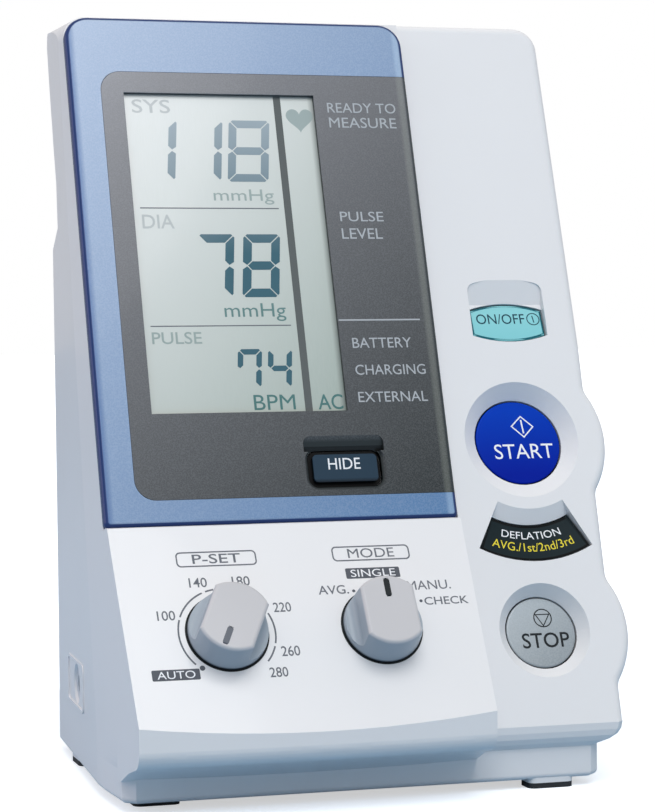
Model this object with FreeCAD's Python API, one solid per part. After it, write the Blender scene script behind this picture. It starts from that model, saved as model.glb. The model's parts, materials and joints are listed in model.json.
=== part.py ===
"""Desktop blood pressure monitor: leaning display head, sloping control module and a key strip.

Millimetres. The monitor is worked out in a case frame: X from the left wall to the right,
Y from the foot of the display panel to the back, Z up from the table. write_part() then moves
every piece so that the origin is the bottom centre of the whole monitor.
"""
import FreeCAD, Part
import math
import os

V = FreeCAD.Vector

# ---- driving dimensions: case ----
CASE_WIDTH = 136.0          # left wall to right wall, without the scalloped lobes
CASE_HEIGHT = 203.0
KEY_STRIP_WIDTH = 41.6      # from the display panel's right edge to the right wall
CASE_BACK = 88.0            # back wall
WALL = 2.2
DRAFT_START = 13.0          # where the side walls begin to close in, at the foot
DRAFT_START_TOP = 56.0      # and at the top of the head
DRAFT_END = 6.0             # how far each side wall has closed in by DRAFT_END_Y
DRAFT_END_Y = 108.0
WALL_BEND_Z = 112.0         # below this height the right wall closes in
BACK_DRAFT = DRAFT_END * (CASE_BACK - DRAFT_START) / (DRAFT_END_Y - DRAFT_START)
HEAD_CORNER = 6.5           # rounding of the head's top corners, seen from the front
BACK_CORNER = 3.5           # rounding of the back corners
SEAM_DEPTH = 16.0           # joint between the two case halves, behind the display plane

# ---- driving dimensions: display panel ----
PANEL_FOOT_Z = 69.8
PANEL_TILT = 19.45
PANEL_WIDTH = CASE_WIDTH - KEY_STRIP_WIDTH
PANEL_HEIGHT = (CASE_HEIGHT - PANEL_FOOT_Z) / math.cos(math.radians(PANEL_TILT))
PANEL_THICK = 2.6
PANEL_EDGE = 1.3            # roll of the panel's outer edge
PANEL_CORNER = 1.5          # the two lower corners
WINDOW_LEFT = 8.5
WINDOW_LOW = 6.8
WINDOW_TOP = 15.86          # band of the panel above the window
WINDOW_HIGH = PANEL_HEIGHT - WINDOW_TOP
WINDOW_CORNER = 5.5
WINDOW_THICK = 1.2
LCD_LEFT = 14.6
LEGEND_WIDTH = 27.2         # from the glass to the panel's right edge
LCD_RIGHT = PANEL_WIDTH - LEGEND_WIDTH
LCD_LOW = 29.8
LCD_TOP = 6.0               # glass below the window's upper edge
LCD_HIGH = WINDOW_HIGH - LCD_TOP
LCD_THICK = 2.2
LCD_MARGIN = 1.6            # glass hidden behind the window's edge

# ---- driving dimensions: key strip ----
STRIP_SETBACK = 1.2         # key strip behind the display plane, at the panel's foot
STRIP_TILT = 20.3
STRIP_LOW = -56.5           # lower edge, along the slope from the panel's foot
STRIP_TAPER = 2.6
STRIP_LOW_WIDTH = CASE_WIDTH - STRIP_TAPER
STRIP_ROUND = 2.4
LOBE_DEPTH = 30.0
LOBE_BLEND = 5.0
START_X = CASE_WIDTH - 20.7
START_S = 20.9
START_LOBE = 24.5
STOP_X = CASE_WIDTH - 21.4
STOP_S = -31.3
STOP_LOBE = 24.0

# ---- driving dimensions: control module ----
CONTROL_TILT = 34.0
CONTROL_STEP = 2.0          # module's upper edge in front of the display plane
MODULE_FRONT = -34.7        # foremost line of the lip
MODULE_STEP = 0.2
MODULE_RIGHT = PANEL_WIDTH - MODULE_STEP
MODULE_DRAFT_LEFT = 0.9
MODULE_DRAFT_RIGHT = 1.9
LIP_ARC = 600.0             # plan radius of the lip
LIP_LOW_Z = 17.0
LIP_CREASE_Z = 14.0         # where the lip turns under
LIP_ROUND = 4.0

# ---- driving dimensions: plinth ----
PLINTH_FRONT = -15.5
PLINTH_LEFT = 0.9           # plinth's left side in from the left wall
PLINTH_INSET = 8.1          # plinth's right side in from the right wall
PLINTH_RIGHT = CASE_WIDTH - PLINTH_INSET
PLINTH_LOW = 2.4
PLINTH_HIGH = 10.6
BEVEL_HIGH = 16.8
# share of the bevel's height, and of its reach at that height
BEVEL_CURVE = ((0, 0), (0.22, 0.5), (0.45, 0.8), (0.7, 0.95), (1, 1))
PLINTH_ROUND = 1.4

# ---- driving dimensions: back of the head ----
LEDGE_Z = 141.8
GRIP_Y = 70.6
GRIP_LOW_Z = 147.2
GRIP_HIGH_Z = 151.0
HEAD_BACK_Y = 93.6
HEAD_BACK_DROP = 8.0        # slope from the head's top down to its back
HEAD_BACK_Z = CASE_HEIGHT - HEAD_BACK_DROP
BROW_ROUND = 3.0            # rounding of the upper back edge

# ---- driving dimensions: keys ----
KEY_GAP = 0.35              # key to case, all round
KEY_TRAVEL = 1.0
KEY_LEAN = 5.3              # round keys lean back from the strip by this much more
KEY_DEPTH = 3.0             # middle of a round key's face below the strip
KEY_SLEEVE = 5.0            # depth of the guide round a key
KEY_LEDGE = 1.2             # flange that keeps a key in its guide
KEY_FLANGE = 1.6
KEY_STOP = 0.3              # flange to guide when the key is up
KEY_STEM_R = 2.2
KEY_SIDE_GAP = 0.4          # DEFLATION's flange to the case's right wall
KEY_WALL = 1.8
SLEEVE_WALL = 1.9
START_R = 11.9
STOP_R = 9.6
START_RIM = 16.1
STOP_RIM = 12.6
ONOFF_X = CASE_WIDTH - 19.9
ONOFF_S = 54.35
ONOFF_WIDTH = 20.8
ONOFF_SIDE = 7.4
ONOFF_BULGE = 1.8
ONOFF_LEAN = 8.0
ONOFF_DEPTH = 1.5
ONOFF_RAMP = 6.4            # finger ramp above the key
ONOFF_CORNER = 2.4          # rounding of the ramp's upper corners
DEFLATE_IN = 23.5
DEFLATE_OUT = 33.3
DEFLATE_ANGLE = 27.4
DEFLATE_RAMP = 4.2
DEFLATE_HIGH = 2.3          # depth of the key's upper edge
DEFLATE_LOW = 0.6           # depth of its lower edge
HIDE_X = PANEL_WIDTH - 29.4
HIDE_S = 14.3
HIDE_WIDTH = 17.4
HIDE_HEIGHT = 7.4
HIDE_MARGIN = 1.0           # dark flange that shows round the key's cap
HIDE_DEPTH = 0.4
HIDE_RAMP = 3.6
HIDE_BEVEL = 0.9            # bevel round the pocket's sides and lower edge
HIDE_CORNER = 2.0           # rounding of the ramp's upper corners
SWITCH_SIZE = 6.0
SWITCH_HEIGHT = 3.6
PLUNGER_HEIGHT = 0.9
ONOFF_SLEEVE = 5.6          # guide depth under ON/OFF's face, at its lower side
HIDE_SLEEVE = 5.1
CONTROL_BOARD_DEPTH = 10.7
KEY_BOARD_DEPTH = 18.0      # key board behind the strip's face
DISPLAY_BOARD_DEPTH = 14.0  # display board behind the panel's face

# ---- driving dimensions: knobs ----
PSET_X = 26.5
MODE_X = MODULE_RIGHT - 27.4
KNOB_S = -30.5
KNOB_R = 10.2
KNOB_TOP_R = 9.5
KNOB_SKIRT = 2.2
KNOB_HEIGHT = 9.6
GRIP_WIDTH = 14.0
KNOB_GAP = 0.4
PSET_POINTER = 206.0        # clockwise from straight up the face
MARK_IN = 3.4
MARK_OUT = 8.6
MARK_WIDTH = 1.2
MARK_DEPTH = 0.25
SHAFT_R = 3.0
SHAFT_FIT = 0.08
SWITCH_BODY = 15.0
SWITCH_BODY_DEPTH = 8.0

# ---- driving dimensions: fasteners and seats ----
SCREW_R = 1.45
SCREW_HEAD_R = 2.7
SCREW_HEAD_H = 1.8
SCREW_FIT = 0.05
SCREW_GRIP = 5.0            # case screw head in front of the seam, into the rear boss
SCREW_BITE = 10.0           # case screw length in the front boss
HIGH_SCREWS = CASE_HEIGHT - 27.0
CASE_SCREWS = (
    (8.6, 45.0), (CASE_WIDTH - 9.0, 24.0), (8.0, HIGH_SCREWS), (CASE_WIDTH - 8.0, HIGH_SCREWS),
)
BOSS_R = 3.6
BOARD_THICK = 1.6
BOARD_SCREW_R = 1.1
BOARD_HEAD_R = 2.0
BOARD_HEAD_H = 1.3
BOARD_BITE = 5.0
POST_R = 2.8
BOARD_EDGE = 5.0            # middle of a post in from its board's edge
BOARD_RIGHT = PANEL_WIDTH - 4.4
BOARD_HIGH = WINDOW_HIGH + 6.6
DISPLAY_POSTS = (
    (17.0, 12.0), (BOARD_RIGHT - BOARD_EDGE, 12.0), (17.0, BOARD_HIGH - 5.5),
    (BOARD_RIGHT - BOARD_EDGE, BOARD_HIGH - 5.5),
)
KEY_BOARD_LEFT = PANEL_WIDTH + 4.1
KEY_BOARD_RIGHT = CASE_WIDTH - 5.5
KEY_POSTS = (
    (KEY_BOARD_LEFT + 3.0, 38.0), (KEY_BOARD_RIGHT - 3.0, 42.0),
    (KEY_BOARD_LEFT + 3.0, -16.0), (KEY_BOARD_RIGHT - 3.0, -16.0),
)
BETWEEN_KNOBS = (PSET_X + MODE_X) / 2
CONTROL_POSTS = (
    (PSET_X - 10.5, KNOB_S + 11.0), (BETWEEN_KNOBS, KNOB_S + 11.0),
    (BETWEEN_KNOBS, KNOB_S - 11.0), (MODE_X + 10.7, KNOB_S + 11.0),
)
MAIN_BOARD_LEFT = 11.0
MAIN_BOARD_RIGHT = CASE_WIDTH - 11.0
MAIN_BOARD_LOW = 56.0
MAIN_BOARD_HIGH = 136.0
MAIN_POSTS = (
    (MAIN_BOARD_LEFT + 5.0, 60.0), (MAIN_BOARD_RIGHT - 5.0, 60.0),
    (MAIN_BOARD_LEFT + 5.0, 130.0), (MAIN_BOARD_RIGHT - 5.0, 130.0),
)
SHELF_LEFT = 8.0
SHELF_RIGHT = CASE_WIDTH - 10.0
SHELF_SCREWS = (
    (SHELF_LEFT + 3.0, 36.0), (SHELF_LEFT + 3.0, 74.0), (SHELF_RIGHT - 3.0, 36.0), (SHELF_RIGHT - 3.0, 74.0),
)

# ---- driving dimensions: inside ----
CELL_R = 7.1
CELL_PITCH = 14.4
CELL_LENGTH = 50.5
CELL_COUNT = 5
CELL_X = 30.0
CELL_Y = 17.2               # axis of the foremost cell
CELL_Z = 14.4
BATTERY_LEFT = 28.0         # inside of the battery box
BATTERY_RIGHT = 83.0
BATTERY_FRONT = 9.5
BATTERY_REAR = 82.5
BATTERY_TOP = 22.0
BATTERY_WALL = 2.0
COVER_MARGIN = 3.0
COVER_STEP = 1.2            # thickness of the cover's outer layer
COVER_GAP = 0.3
COVER_SCREWS = ((40.0, 4.0), (71.0, 4.0))
COVER_SCREW_HEAD = 0.9
COVER_SCREW_LENGTH = 6.0
COVER_SCREW_SINK = 0.7      # head's underside above the plinth's foot
TAB_SPOTS = (38.0, 66.0)    # left edges of the cover's hooks
TAB_WIDTH = 6.0
PUMP_X = PLINTH_RIGHT - 23.7
PUMP_Z = 20.5
PUMP_R = 12.0
PUMP_HEAD_R = 13.4
PUMP_Y = 14.0
MOTOR_LENGTH = 32.0
HEAD_LENGTH = 20.0
CRANK_R = 1.0
CRANK_FIT = 0.08
CRADLE_Y = 24.0
CRADLE_LENGTH = 12.0
STRAP_THICK = 1.5
STRAP_HEAD_R = 2.0
STRAP_HEAD_GAP = 0.3
SOCKET_Y = 48.4
SOCKET_Z = 23.9
SOCKET_BORE = 2.8
SOCKET_BODY = 4.9
SOCKET_END = 20.5
ELBOW_X = 16.2
SOCKET_SINK = 0.9
SOCKET_RIM = 0.4
JACK_X = CASE_WIDTH - 22.0
JACK_Z = 46.0
JACK_BORE = 3.15
JACK_PIN = 1.0
SHELF_Z = 38.0
SHELF_THICK = 2.0
PORT_R = 1.95
HOSE_BORE = 2.0
HOSE_R = 3.1
MANIFOLD_Y = 57.0
MANIFOLD_PORTS = (28.0, 47.0, 66.0)
MANIFOLD_TOP = 52.0
PEG_SPOTS = (24.0, 70.0)    # pegs under the manifold
VALVE_SPOTS = (36.0, 60.0)
SENSOR_Y = 70.4
SENSOR_Z = 78.0
MAIN_BOARD_Y = 80.0         # rear face of the main board
FOOT_PADS = (
    (5.6, 17.6, -6.0, 6.0), (PLINTH_RIGHT - 19.8, PLINTH_RIGHT - 7.5, -15.1, -7.4),
    (4.2, 16.2, 55.3, 67.3), (PLINTH_RIGHT - 17.9, PLINTH_RIGHT - 5.9, 55.3, 67.3),
)
FOOT_HEIGHT = 1.4
PLATE_EDGE = 40.0           # rating plate in from each side wall
PLATE_THICK = 0.3

FAR = 400.0


# ---- small makers ----
def box(x0, x1, y0, y1, z0, z1):
    return Part.makeBox(x1 - x0, y1 - y0, z1 - z0, V(x0, y0, z0))


def cylinder(radius, start, direction, length):
    return Part.makeCylinder(radius, length, start, direction)


def flat_face(points, inset=0.0):
    """A plane polygon, drawn in by inset all round."""
    wire = Part.makePolygon(points + [points[0]])
    if inset:
        wire = wire.makeOffset2D(-inset, 2)
    return Part.Face(wire)


def side_prism(outline, x0, x1, inset=0.0):
    """Extrude a (y, z) outline along X."""
    face = flat_face([V(x0, y, z) for y, z in outline], inset)
    return face.extrude(V(x1 - x0, 0, 0))


def front_prism(outline, y0, y1, inset=0.0):
    """Extrude an (x, z) outline along Y."""
    face = flat_face([V(x, y0, z) for x, z in outline], inset)
    return face.extrude(V(0, y1 - y0, 0))


def plan_prism(outline, z0, z1, inset=0.0):
    """Extrude an (x, y) outline along Z, or along a local frame's own Z."""
    face = flat_face([V(x, y, z0) for x, y in outline], inset)
    return face.extrude(V(0, 0, z1 - z0))


def edges_along(shape, direction, keep=None):
    """Edges that run along a direction, for roundings."""
    found = []
    for edge in shape.Edges:
        span = edge.Vertexes[-1].Point - edge.Vertexes[0].Point
        if span.Length < 1e-6 or span.cross(direction).Length > 0.03 * span.Length:
            continue
        if edge.Length < 1.01 * span.Length and (keep is None or keep(edge.CenterOfMass)):
            found.append(edge)
    return found


def rounded_slab(x0, x1, y0, y1, z0, z1, radius):
    block = box(x0, x1, y0, y1, z0, z1)
    return block.makeFillet(radius, edges_along(block, V(0, 0, 1)))


def leaning_frame(x, y, z, tilt):
    """Frame on a face that leans back: local X is X, local Y runs up the face, local Z out of it."""
    turn = FreeCAD.Rotation(V(1, 0, 0), 90.0 - tilt)
    return FreeCAD.Placement(V(x, y, z), turn)


def put(shape, frame):
    moved = shape.copy()
    moved.Placement = frame.multiply(moved.Placement)
    return moved


def join(shapes):
    whole = shapes[0]
    for shape in shapes[1:]:
        whole = whole.fuse(shape)
    return whole


def cut(shape, tools):
    for tool in tools:
        shape = shape.cut(tool)
    return shape


def tan(degrees):
    return math.tan(math.radians(degrees))


def cos(degrees):
    return math.cos(math.radians(degrees))


def sin(degrees):
    return math.sin(math.radians(degrees))


DISPLAY = leaning_frame(0, 0, PANEL_FOOT_Z, PANEL_TILT)
STRIP = leaning_frame(0, STRIP_SETBACK, PANEL_FOOT_Z, STRIP_TILT)
CONTROL = leaning_frame(0, -CONTROL_STEP, PANEL_FOOT_Z, CONTROL_TILT)
STRIP_HEIGHT = (CASE_HEIGHT - PANEL_FOOT_Z) / cos(STRIP_TILT)
LIP_AXIS = V(PANEL_WIDTH / 2, MODULE_FRONT + LIP_ARC, 0)


def leaning_y(z, setback, tilt, behind):
    """Y of a leaning plane at height z, moved back along its normal by behind."""
    return setback + behind / cos(tilt) + (z - PANEL_FOOT_Z) * tan(tilt)


def display_y(z, behind=0.0):
    return leaning_y(z, 0.0, PANEL_TILT, behind)


def strip_y(z, behind=0.0):
    return leaning_y(z, STRIP_SETBACK, STRIP_TILT, behind)


# ---- case volume ----
def back_outline(front_low, front_high, floor):
    """Side outline of the case behind its front faces."""
    return [
        (front_low, floor), (front_high, CASE_HEIGHT),
        (HEAD_BACK_Y - 3.4, CASE_HEIGHT), (HEAD_BACK_Y, HEAD_BACK_Z),
        (GRIP_Y + 0.4, GRIP_HIGH_Z), (GRIP_Y, GRIP_LOW_Z),
        (CASE_BACK - 4.0, LEDGE_Z), (CASE_BACK, LEDGE_Z - 3.0), (CASE_BACK, floor),
    ]


def wall_outline(z, inset):
    """Plan of the side walls at height z, left and right."""
    rise = (z - BEVEL_HIGH) / (CASE_HEIGHT - BEVEL_HIGH)
    start = DRAFT_START + rise * (DRAFT_START_TOP - DRAFT_START)
    side = [(0, start), (DRAFT_END, DRAFT_END_Y)]
    front = -45.0
    left = [(MODULE_DRAFT_LEFT * front / (MODULE_FRONT - 2), front), (0, 0)] + side
    right = [(CASE_WIDTH - x, y) for x, y in reversed(side)] + [(CASE_WIDTH, front)]
    return flat_face([V(x, y, z) for x, y in left + right], inset).OuterWire


def wall_prism(inset):
    levels = [wall_outline(z, inset) for z in (BEVEL_HIGH - 15, CASE_HEIGHT + 5)]
    return Part.makeLoft(levels, True, True)


def head_front(inset):
    """Front view of the case: side walls, rounded top corners."""
    outline = [
        (0, BEVEL_HIGH - 10), (0, CASE_HEIGHT), (CASE_WIDTH, CASE_HEIGHT),
        (CASE_WIDTH, WALL_BEND_Z), (STRIP_LOW_WIDTH, BEVEL_HIGH), (STRIP_LOW_WIDTH, BEVEL_HIGH - 10),
    ]
    prism = front_prism(outline, -60, 120, inset)
    corners = edges_along(prism, V(0, 1, 0), lambda p: p.z > CASE_HEIGHT - WALL - 1)
    return prism.makeFillet(HEAD_CORNER - inset, corners)


def strip_block(inset):
    """Leaning slab that carries the keys, with a lobe round START and round STOP."""
    left = PANEL_WIDTH - 6 + inset
    base, face = -LOBE_DEPTH + inset, -inset
    block = put(box(left, CASE_WIDTH + 9, STRIP_LOW - 20, STRIP_HEIGHT + 20, base, face), STRIP)
    block = block.common(head_front(inset)).common(wall_prism(inset))
    for x, s, radius in ((START_X, START_S, START_LOBE), (STOP_X, STOP_S, STOP_LOBE)):
        lobe = box(x, x + 2 * radius, s - 2 * radius, s + 2 * radius, base, face)
        lobe = lobe.common(cylinder(radius - inset, V(x, s, base), V(0, 0, 1), face - base))
        block = block.fuse(put(lobe, STRIP))
    block = block.common(box(0, FAR, -FAR, FAR, BEVEL_HIGH, FAR)).removeSplitter()
    if inset:
        return block
    out = STRIP.Rotation.multVec(V(0, 0, 1))
    hollows = edges_along(block, out, lambda p: p.x > STRIP_LOW_WIDTH - 2)
    block = block.makeFillet(LOBE_BLEND, hollows)
    return block.makeFillet(STRIP_ROUND, strip_rim(block))


def strip_rim(block):
    """Edges round the key strip's face, without its hidden left end and its lower edge."""
    rim = []
    for edge in block.Edges:
        spots = [STRIP.inverse().multVec(v.Point) for v in edge.Vertexes]
        spots.append(STRIP.inverse().multVec(edge.CenterOfMass))
        on_face = all(abs(p.z) < 1e-3 for p in spots)
        if on_face and spots[-1].x > PANEL_WIDTH - 5 and spots[-1].y > STRIP_LOW + 1:
            rim.append(edge)
    return rim


def module_block(inset):
    """Control module: a sloping face that ends in a bowed lip, undercut down to the plinth."""
    top = PANEL_FOOT_Z
    low = -CONTROL_STEP - (top - 2.0) * tan(CONTROL_TILT)
    slope = side_prism([(-CONTROL_STEP, top), (45, top), (45, 2.0), (low, 2.0)], 0, MODULE_RIGHT + 9, inset)
    plan = [
        (MODULE_DRAFT_LEFT, MODULE_FRONT - 2), (0, 0), (0, 50), (MODULE_RIGHT, 50), (MODULE_RIGHT, 0),
        (MODULE_RIGHT - MODULE_DRAFT_RIGHT, MODULE_FRONT - 2),
    ]
    middle = LIP_AXIS.x
    front = MODULE_FRONT
    lip = [
        (PLINTH_FRONT + 3, 8.0), (PLINTH_FRONT, 8.0), (PLINTH_FRONT - 8.5, 11.5), (front + 1.7, LIP_CREASE_Z),
        (front, LIP_LOW_Z), (front, top + 5), (45, top + 5), (45, BEVEL_HIGH), (PLINTH_FRONT + 3, BEVEL_HIGH),
    ]
    face = flat_face([V(middle, y, z) for y, z in lip], inset)
    turned = face.revolve(LIP_AXIS, V(0, 0, 1), 7.0).fuse(face.revolve(LIP_AXIS, V(0, 0, 1), -7.0))
    if not inset:
        turned = turned.removeSplitter()
        creases = [edge for edge in turned.Edges if edge.Length > 60 and is_lip_crease(edge.CenterOfMass)]
        turned = turned.makeFillet(LIP_ROUND, creases)
    block = turned.common(slope).common(plan_prism(plan, 0, top + 9, inset))
    return block.common(wall_prism(inset)).removeSplitter()


def is_lip_crease(spot):
    """Whether a point lies on one of the two lower creases of the lip."""
    return spot.y < MODULE_FRONT + 6 and (abs(spot.z - LIP_LOW_Z) < 0.1 or abs(spot.z - LIP_CREASE_Z) < 0.1)


def plinth_plan(share):
    """Plan of the foot of the case: share, from 0 to 1, widens it to the bevel's upper rim."""
    left = PLINTH_LEFT * (1 - share) + 0.4 * share
    right = PLINTH_RIGHT * (1 - share) + STRIP_LOW_WIDTH * share
    front = PLINTH_FRONT * (1 - share) + strip_y(BEVEL_HIGH) * share
    back_right = CASE_WIDTH - BACK_DRAFT - (CASE_WIDTH - right)
    cut_in = 3.0
    cut_right = cut_in * (1 - share) + STRIP_ROUND * 0.7 * share
    corner = BACK_CORNER / 2
    return [
        (0, 5.0), (left, front + cut_in), (left + cut_in, front), (right - cut_right, front),
        (right, front + cut_right), (right, DRAFT_START),
        (back_right, CASE_BACK - corner), (back_right - corner, CASE_BACK),
        (BACK_DRAFT + corner, CASE_BACK), (BACK_DRAFT, CASE_BACK - corner), (0, DRAFT_START),
    ]


def base_block(inset):
    levels = []
    for rise, share in BEVEL_CURVE:
        z = PLINTH_HIGH * (1 - rise) + BEVEL_HIGH * rise
        levels.append(flat_face([V(x, y, z) for x, y in plinth_plan(share)], inset).OuterWire)
    bevel = Part.makeLoft(levels, True, True)
    plinth = plan_prism(plinth_plan(0), PLINTH_LOW + inset, PLINTH_HIGH, inset)
    if inset:
        return plinth.fuse(bevel).removeSplitter()
    foot = [edge for edge in plinth.Edges if all(abs(v.Z - PLINTH_LOW) < 1e-6 for v in edge.Vertexes)]
    return plinth.makeFillet(PLINTH_ROUND, foot).fuse(bevel).removeSplitter()


def edge_slope(edge):
    """Height an edge climbs."""
    return abs(edge.Vertexes[0].Z - edge.Vertexes[-1].Z)


def back_block(inset):
    floor = BEVEL_HIGH - inset
    left = back_outline(display_y(floor, PANEL_THICK), display_y(CASE_HEIGHT, PANEL_THICK), floor)
    right = back_outline(strip_y(floor, 5.0), strip_y(CASE_HEIGHT, 5.0), floor)
    whole = side_prism(left, 0, PANEL_WIDTH - inset, inset)
    whole = whole.fuse(side_prism(right, PANEL_WIDTH - 6, CASE_WIDTH, inset))
    whole = whole.common(wall_prism(inset)).common(head_front(inset)).removeSplitter()
    if inset:
        return whole
    whole = whole.makeFillet(BACK_CORNER, back_edges(whole))
    brow = edges_along(whole, V(1, 0, 0), lambda p: p.z > CASE_HEIGHT - 1 and p.y > HEAD_BACK_Y - 5)
    return whole.makeFillet(BROW_ROUND, brow)


def back_edges(block):
    """Long edges where the side walls meet the back wall and the back of the head."""
    found = []
    for edge in block.Edges:
        side = min(edge.CenterOfMass.x, CASE_WIDTH - edge.CenterOfMass.x)
        if side < DRAFT_END + 2 and edge_slope(edge) > 30 and edge.CenterOfMass.y > GRIP_Y:
            found.append(edge)
    return found


def case_volume(inset=0.0):
    blocks = [back_block(inset), strip_block(inset), module_block(inset), base_block(inset)]
    return join(blocks)


# ---- places shared by several pieces ----
def key_frame(x, s, depth, lean):
    """Frame in the middle of a key's face, below the strip and leaning back from it."""
    spot = STRIP.multVec(V(x, s, -depth))
    return leaning_frame(spot.x, spot.y, spot.z, STRIP_TILT + lean)


START = key_frame(START_X, START_S, KEY_DEPTH, KEY_LEAN)
STOP = key_frame(STOP_X, STOP_S, KEY_DEPTH, KEY_LEAN)
ONOFF = key_frame(ONOFF_X, ONOFF_S, ONOFF_DEPTH, ONOFF_LEAN)
ROUND_KEYS = ((START, START_X, START_S, START_R, START_RIM), (STOP, STOP_X, STOP_S, STOP_R, STOP_RIM))


def seam_y(z):
    return display_y(z, SEAM_DEPTH)


def front_side():
    """Everything in front of the seam between the case halves."""
    low, high = -10.0, CASE_HEIGHT + 20
    outline = [(-FAR / 4, low), (seam_y(low), low), (seam_y(high), high), (-FAR / 4, high)]
    return side_prism(outline, -20, CASE_WIDTH + 20)


# ---- key outlines, in their own frames ----
def barrel(grow, z0, z1, side=ONOFF_SIDE, bulge=ONOFF_BULGE):
    """Key with straight sides whose upper and lower edges bow outwards."""
    w, h = ONOFF_WIDTH / 2 + grow, side / 2 + grow
    top = Part.Arc(V(-w, h, z0), V(0, h + bulge, z0), V(w, h, z0)).toShape()
    low = Part.Arc(V(w, -h, z0), V(0, -h - bulge, z0), V(-w, -h, z0)).toShape()
    right = Part.makeLine(V(w, h, z0), V(w, -h, z0))
    left = Part.makeLine(V(-w, -h, z0), V(-w, h, z0))
    return Part.Face(Part.Wire([top, right, low, left])).extrude(V(0, 0, z1 - z0))


def ring_sector(profile, angle):
    """Turn an (r, z) profile about START's middle, angle degrees either side of straight down."""
    face = flat_face([V(0, -r, z) for r, z in profile])
    face.rotate(V(0, 0, 0), V(0, 0, 1), -angle)
    body = face.revolve(V(0, 0, 0), V(0, 0, 1), 2 * angle)
    body.translate(V(START_X, START_S, 0))
    return put(body, STRIP)


def round_dish(frame, x, s, radius, rim):
    """Dish from a circle in the strip's face down to the key's tilted guide."""
    upper = Part.makeCircle(rim, V(x, s, 0), V(0, 0, 1))
    upper = put(Part.Wire([upper]), STRIP)
    lower = Part.makeCircle(radius + KEY_GAP, V(0, 0, 0), V(0, 0, 1))
    lower = put(Part.Wire([lower]), frame)
    return Part.makeLoft([lower, upper], True, True)


def onoff_recess():
    """Finger ramp above ON/OFF, and the shallow seat of its face."""
    low, high = ONOFF_S - ONOFF_SIDE / 2 - ONOFF_BULGE, ONOFF_S + ONOFF_SIDE / 2 + ONOFF_BULGE
    rise = (high - ONOFF_S) * sin(ONOFF_LEAN)
    outline = [
        (low - 0.5, 1.0), (low - 0.5, rise - ONOFF_DEPTH), (high, -rise - ONOFF_DEPTH),
        (high + ONOFF_RAMP, 0), (high + ONOFF_RAMP, 1.0),
    ]
    wedge = put(local_side_prism(outline, 0, CASE_WIDTH), STRIP)
    shell = barrel(KEY_GAP, -20, 20, side=ONOFF_SIDE + ONOFF_RAMP)
    shell = shell.makeFillet(ONOFF_CORNER, edges_along(shell, V(0, 0, 1), lambda p: p.y > 0))
    shell.translate(V(ONOFF_X, ONOFF_S + ONOFF_RAMP / 2, 0))
    return put(shell, STRIP).common(wedge)


def local_side_prism(outline, x0, x1):
    """Extrude a (local y, local z) outline along local X."""
    face = flat_face([V(x0, y, z) for y, z in outline])
    return face.extrude(V(x1 - x0, 0, 0))


def deflate_profile(grow, low, top):
    """Section of the DEFLATION key's guide or flange: radius and height over the strip."""
    inner, outer = DEFLATE_IN - grow, DEFLATE_OUT + grow
    return [(inner, top), (inner, low), (outer, low), (outer, top)]


def deflate_recess():
    section = [
        (DEFLATE_IN - DEFLATE_RAMP, 0), (DEFLATE_IN, -DEFLATE_HIGH - 0.2),
        (DEFLATE_OUT + KEY_GAP, -DEFLATE_LOW), (DEFLATE_OUT + KEY_GAP, 1.0), (DEFLATE_IN - DEFLATE_RAMP, 1.0),
    ]
    return ring_sector(section, deflate_angle(KEY_GAP))


def deflate_angle(grow):
    return DEFLATE_ANGLE + math.degrees(grow / DEFLATE_IN)


# ---- what the case halves share ----
def panel_room():
    return put(box(-5, PANEL_WIDTH + 0.1, -0.1, PANEL_HEIGHT + 20, -PANEL_THICK, 20), DISPLAY)


def guide_blocks():
    """Thick stock round each key, before its guide is cut."""
    blocks = []
    for frame, x, s, radius, rim in ROUND_KEYS:
        sleeve = cylinder(radius + KEY_GAP + SLEEVE_WALL, V(0, 0, -KEY_SLEEVE), V(0, 0, 1), 12)
        blocks.append(put(sleeve, frame))
        blocks.append(put(cylinder(rim + SLEEVE_WALL, V(x, s, -KEY_DEPTH - 1.2), V(0, 0, 1), 8), STRIP))
    low = -KEY_SLEEVE - 1
    ramp = barrel(KEY_GAP + SLEEVE_WALL, low, 5, side=ONOFF_SIDE + ONOFF_RAMP)
    ramp.translate(V(ONOFF_X, ONOFF_S + ONOFF_RAMP / 2, 0))
    blocks.append(put(ramp, STRIP))
    inner, outer = DEFLATE_IN - DEFLATE_RAMP - 1, DEFLATE_OUT + KEY_GAP + SLEEVE_WALL
    section = [(inner, low), (outer, low), (outer, 2), (inner, 2)]
    blocks.append(ring_sector(section, deflate_angle(KEY_GAP + SLEEVE_WALL)))
    return blocks


def key_cuts():
    cuts = []
    for frame, x, s, radius, rim in ROUND_KEYS:
        cuts.append(round_dish(frame, x, s, radius, rim))
        cuts.append(put(cylinder(radius + KEY_GAP, V(0, 0, -20), V(0, 0, 1), 20), frame))
    cuts.append(onoff_recess())
    cuts.append(put(barrel(KEY_GAP, -20, 3), ONOFF))
    cuts.append(deflate_recess())
    cuts.append(ring_sector(deflate_profile(KEY_GAP, -20, 0.5), deflate_angle(KEY_GAP)))
    return cuts


def lcd_outline(grow, z0, z1):
    return put(box(LCD_LEFT - grow, LCD_RIGHT + grow, LCD_LOW - grow, LCD_HIGH + grow, z0, z1), DISPLAY)


def hide_outline(grow, z0, z1):
    w, h = HIDE_WIDTH / 2 + grow, HIDE_HEIGHT / 2 + grow
    slab = rounded_slab(HIDE_X - w, HIDE_X + w, HIDE_S - h, HIDE_S + h, z0, z1, 1.2 + grow)
    return put(slab, DISPLAY)


def along_y(radius, x, z, y0, y1):
    return cylinder(radius, V(x, y0, z), V(0, 1, 0), y1 - y0)


def local_pins(frame, spots, radius, z0, z1):
    """Pins that stand on a leaning frame at the given (x, y) spots."""
    return [put(cylinder(radius, V(x, y, z0), V(0, 0, 1), z1 - z0), frame) for x, y in spots]


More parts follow.
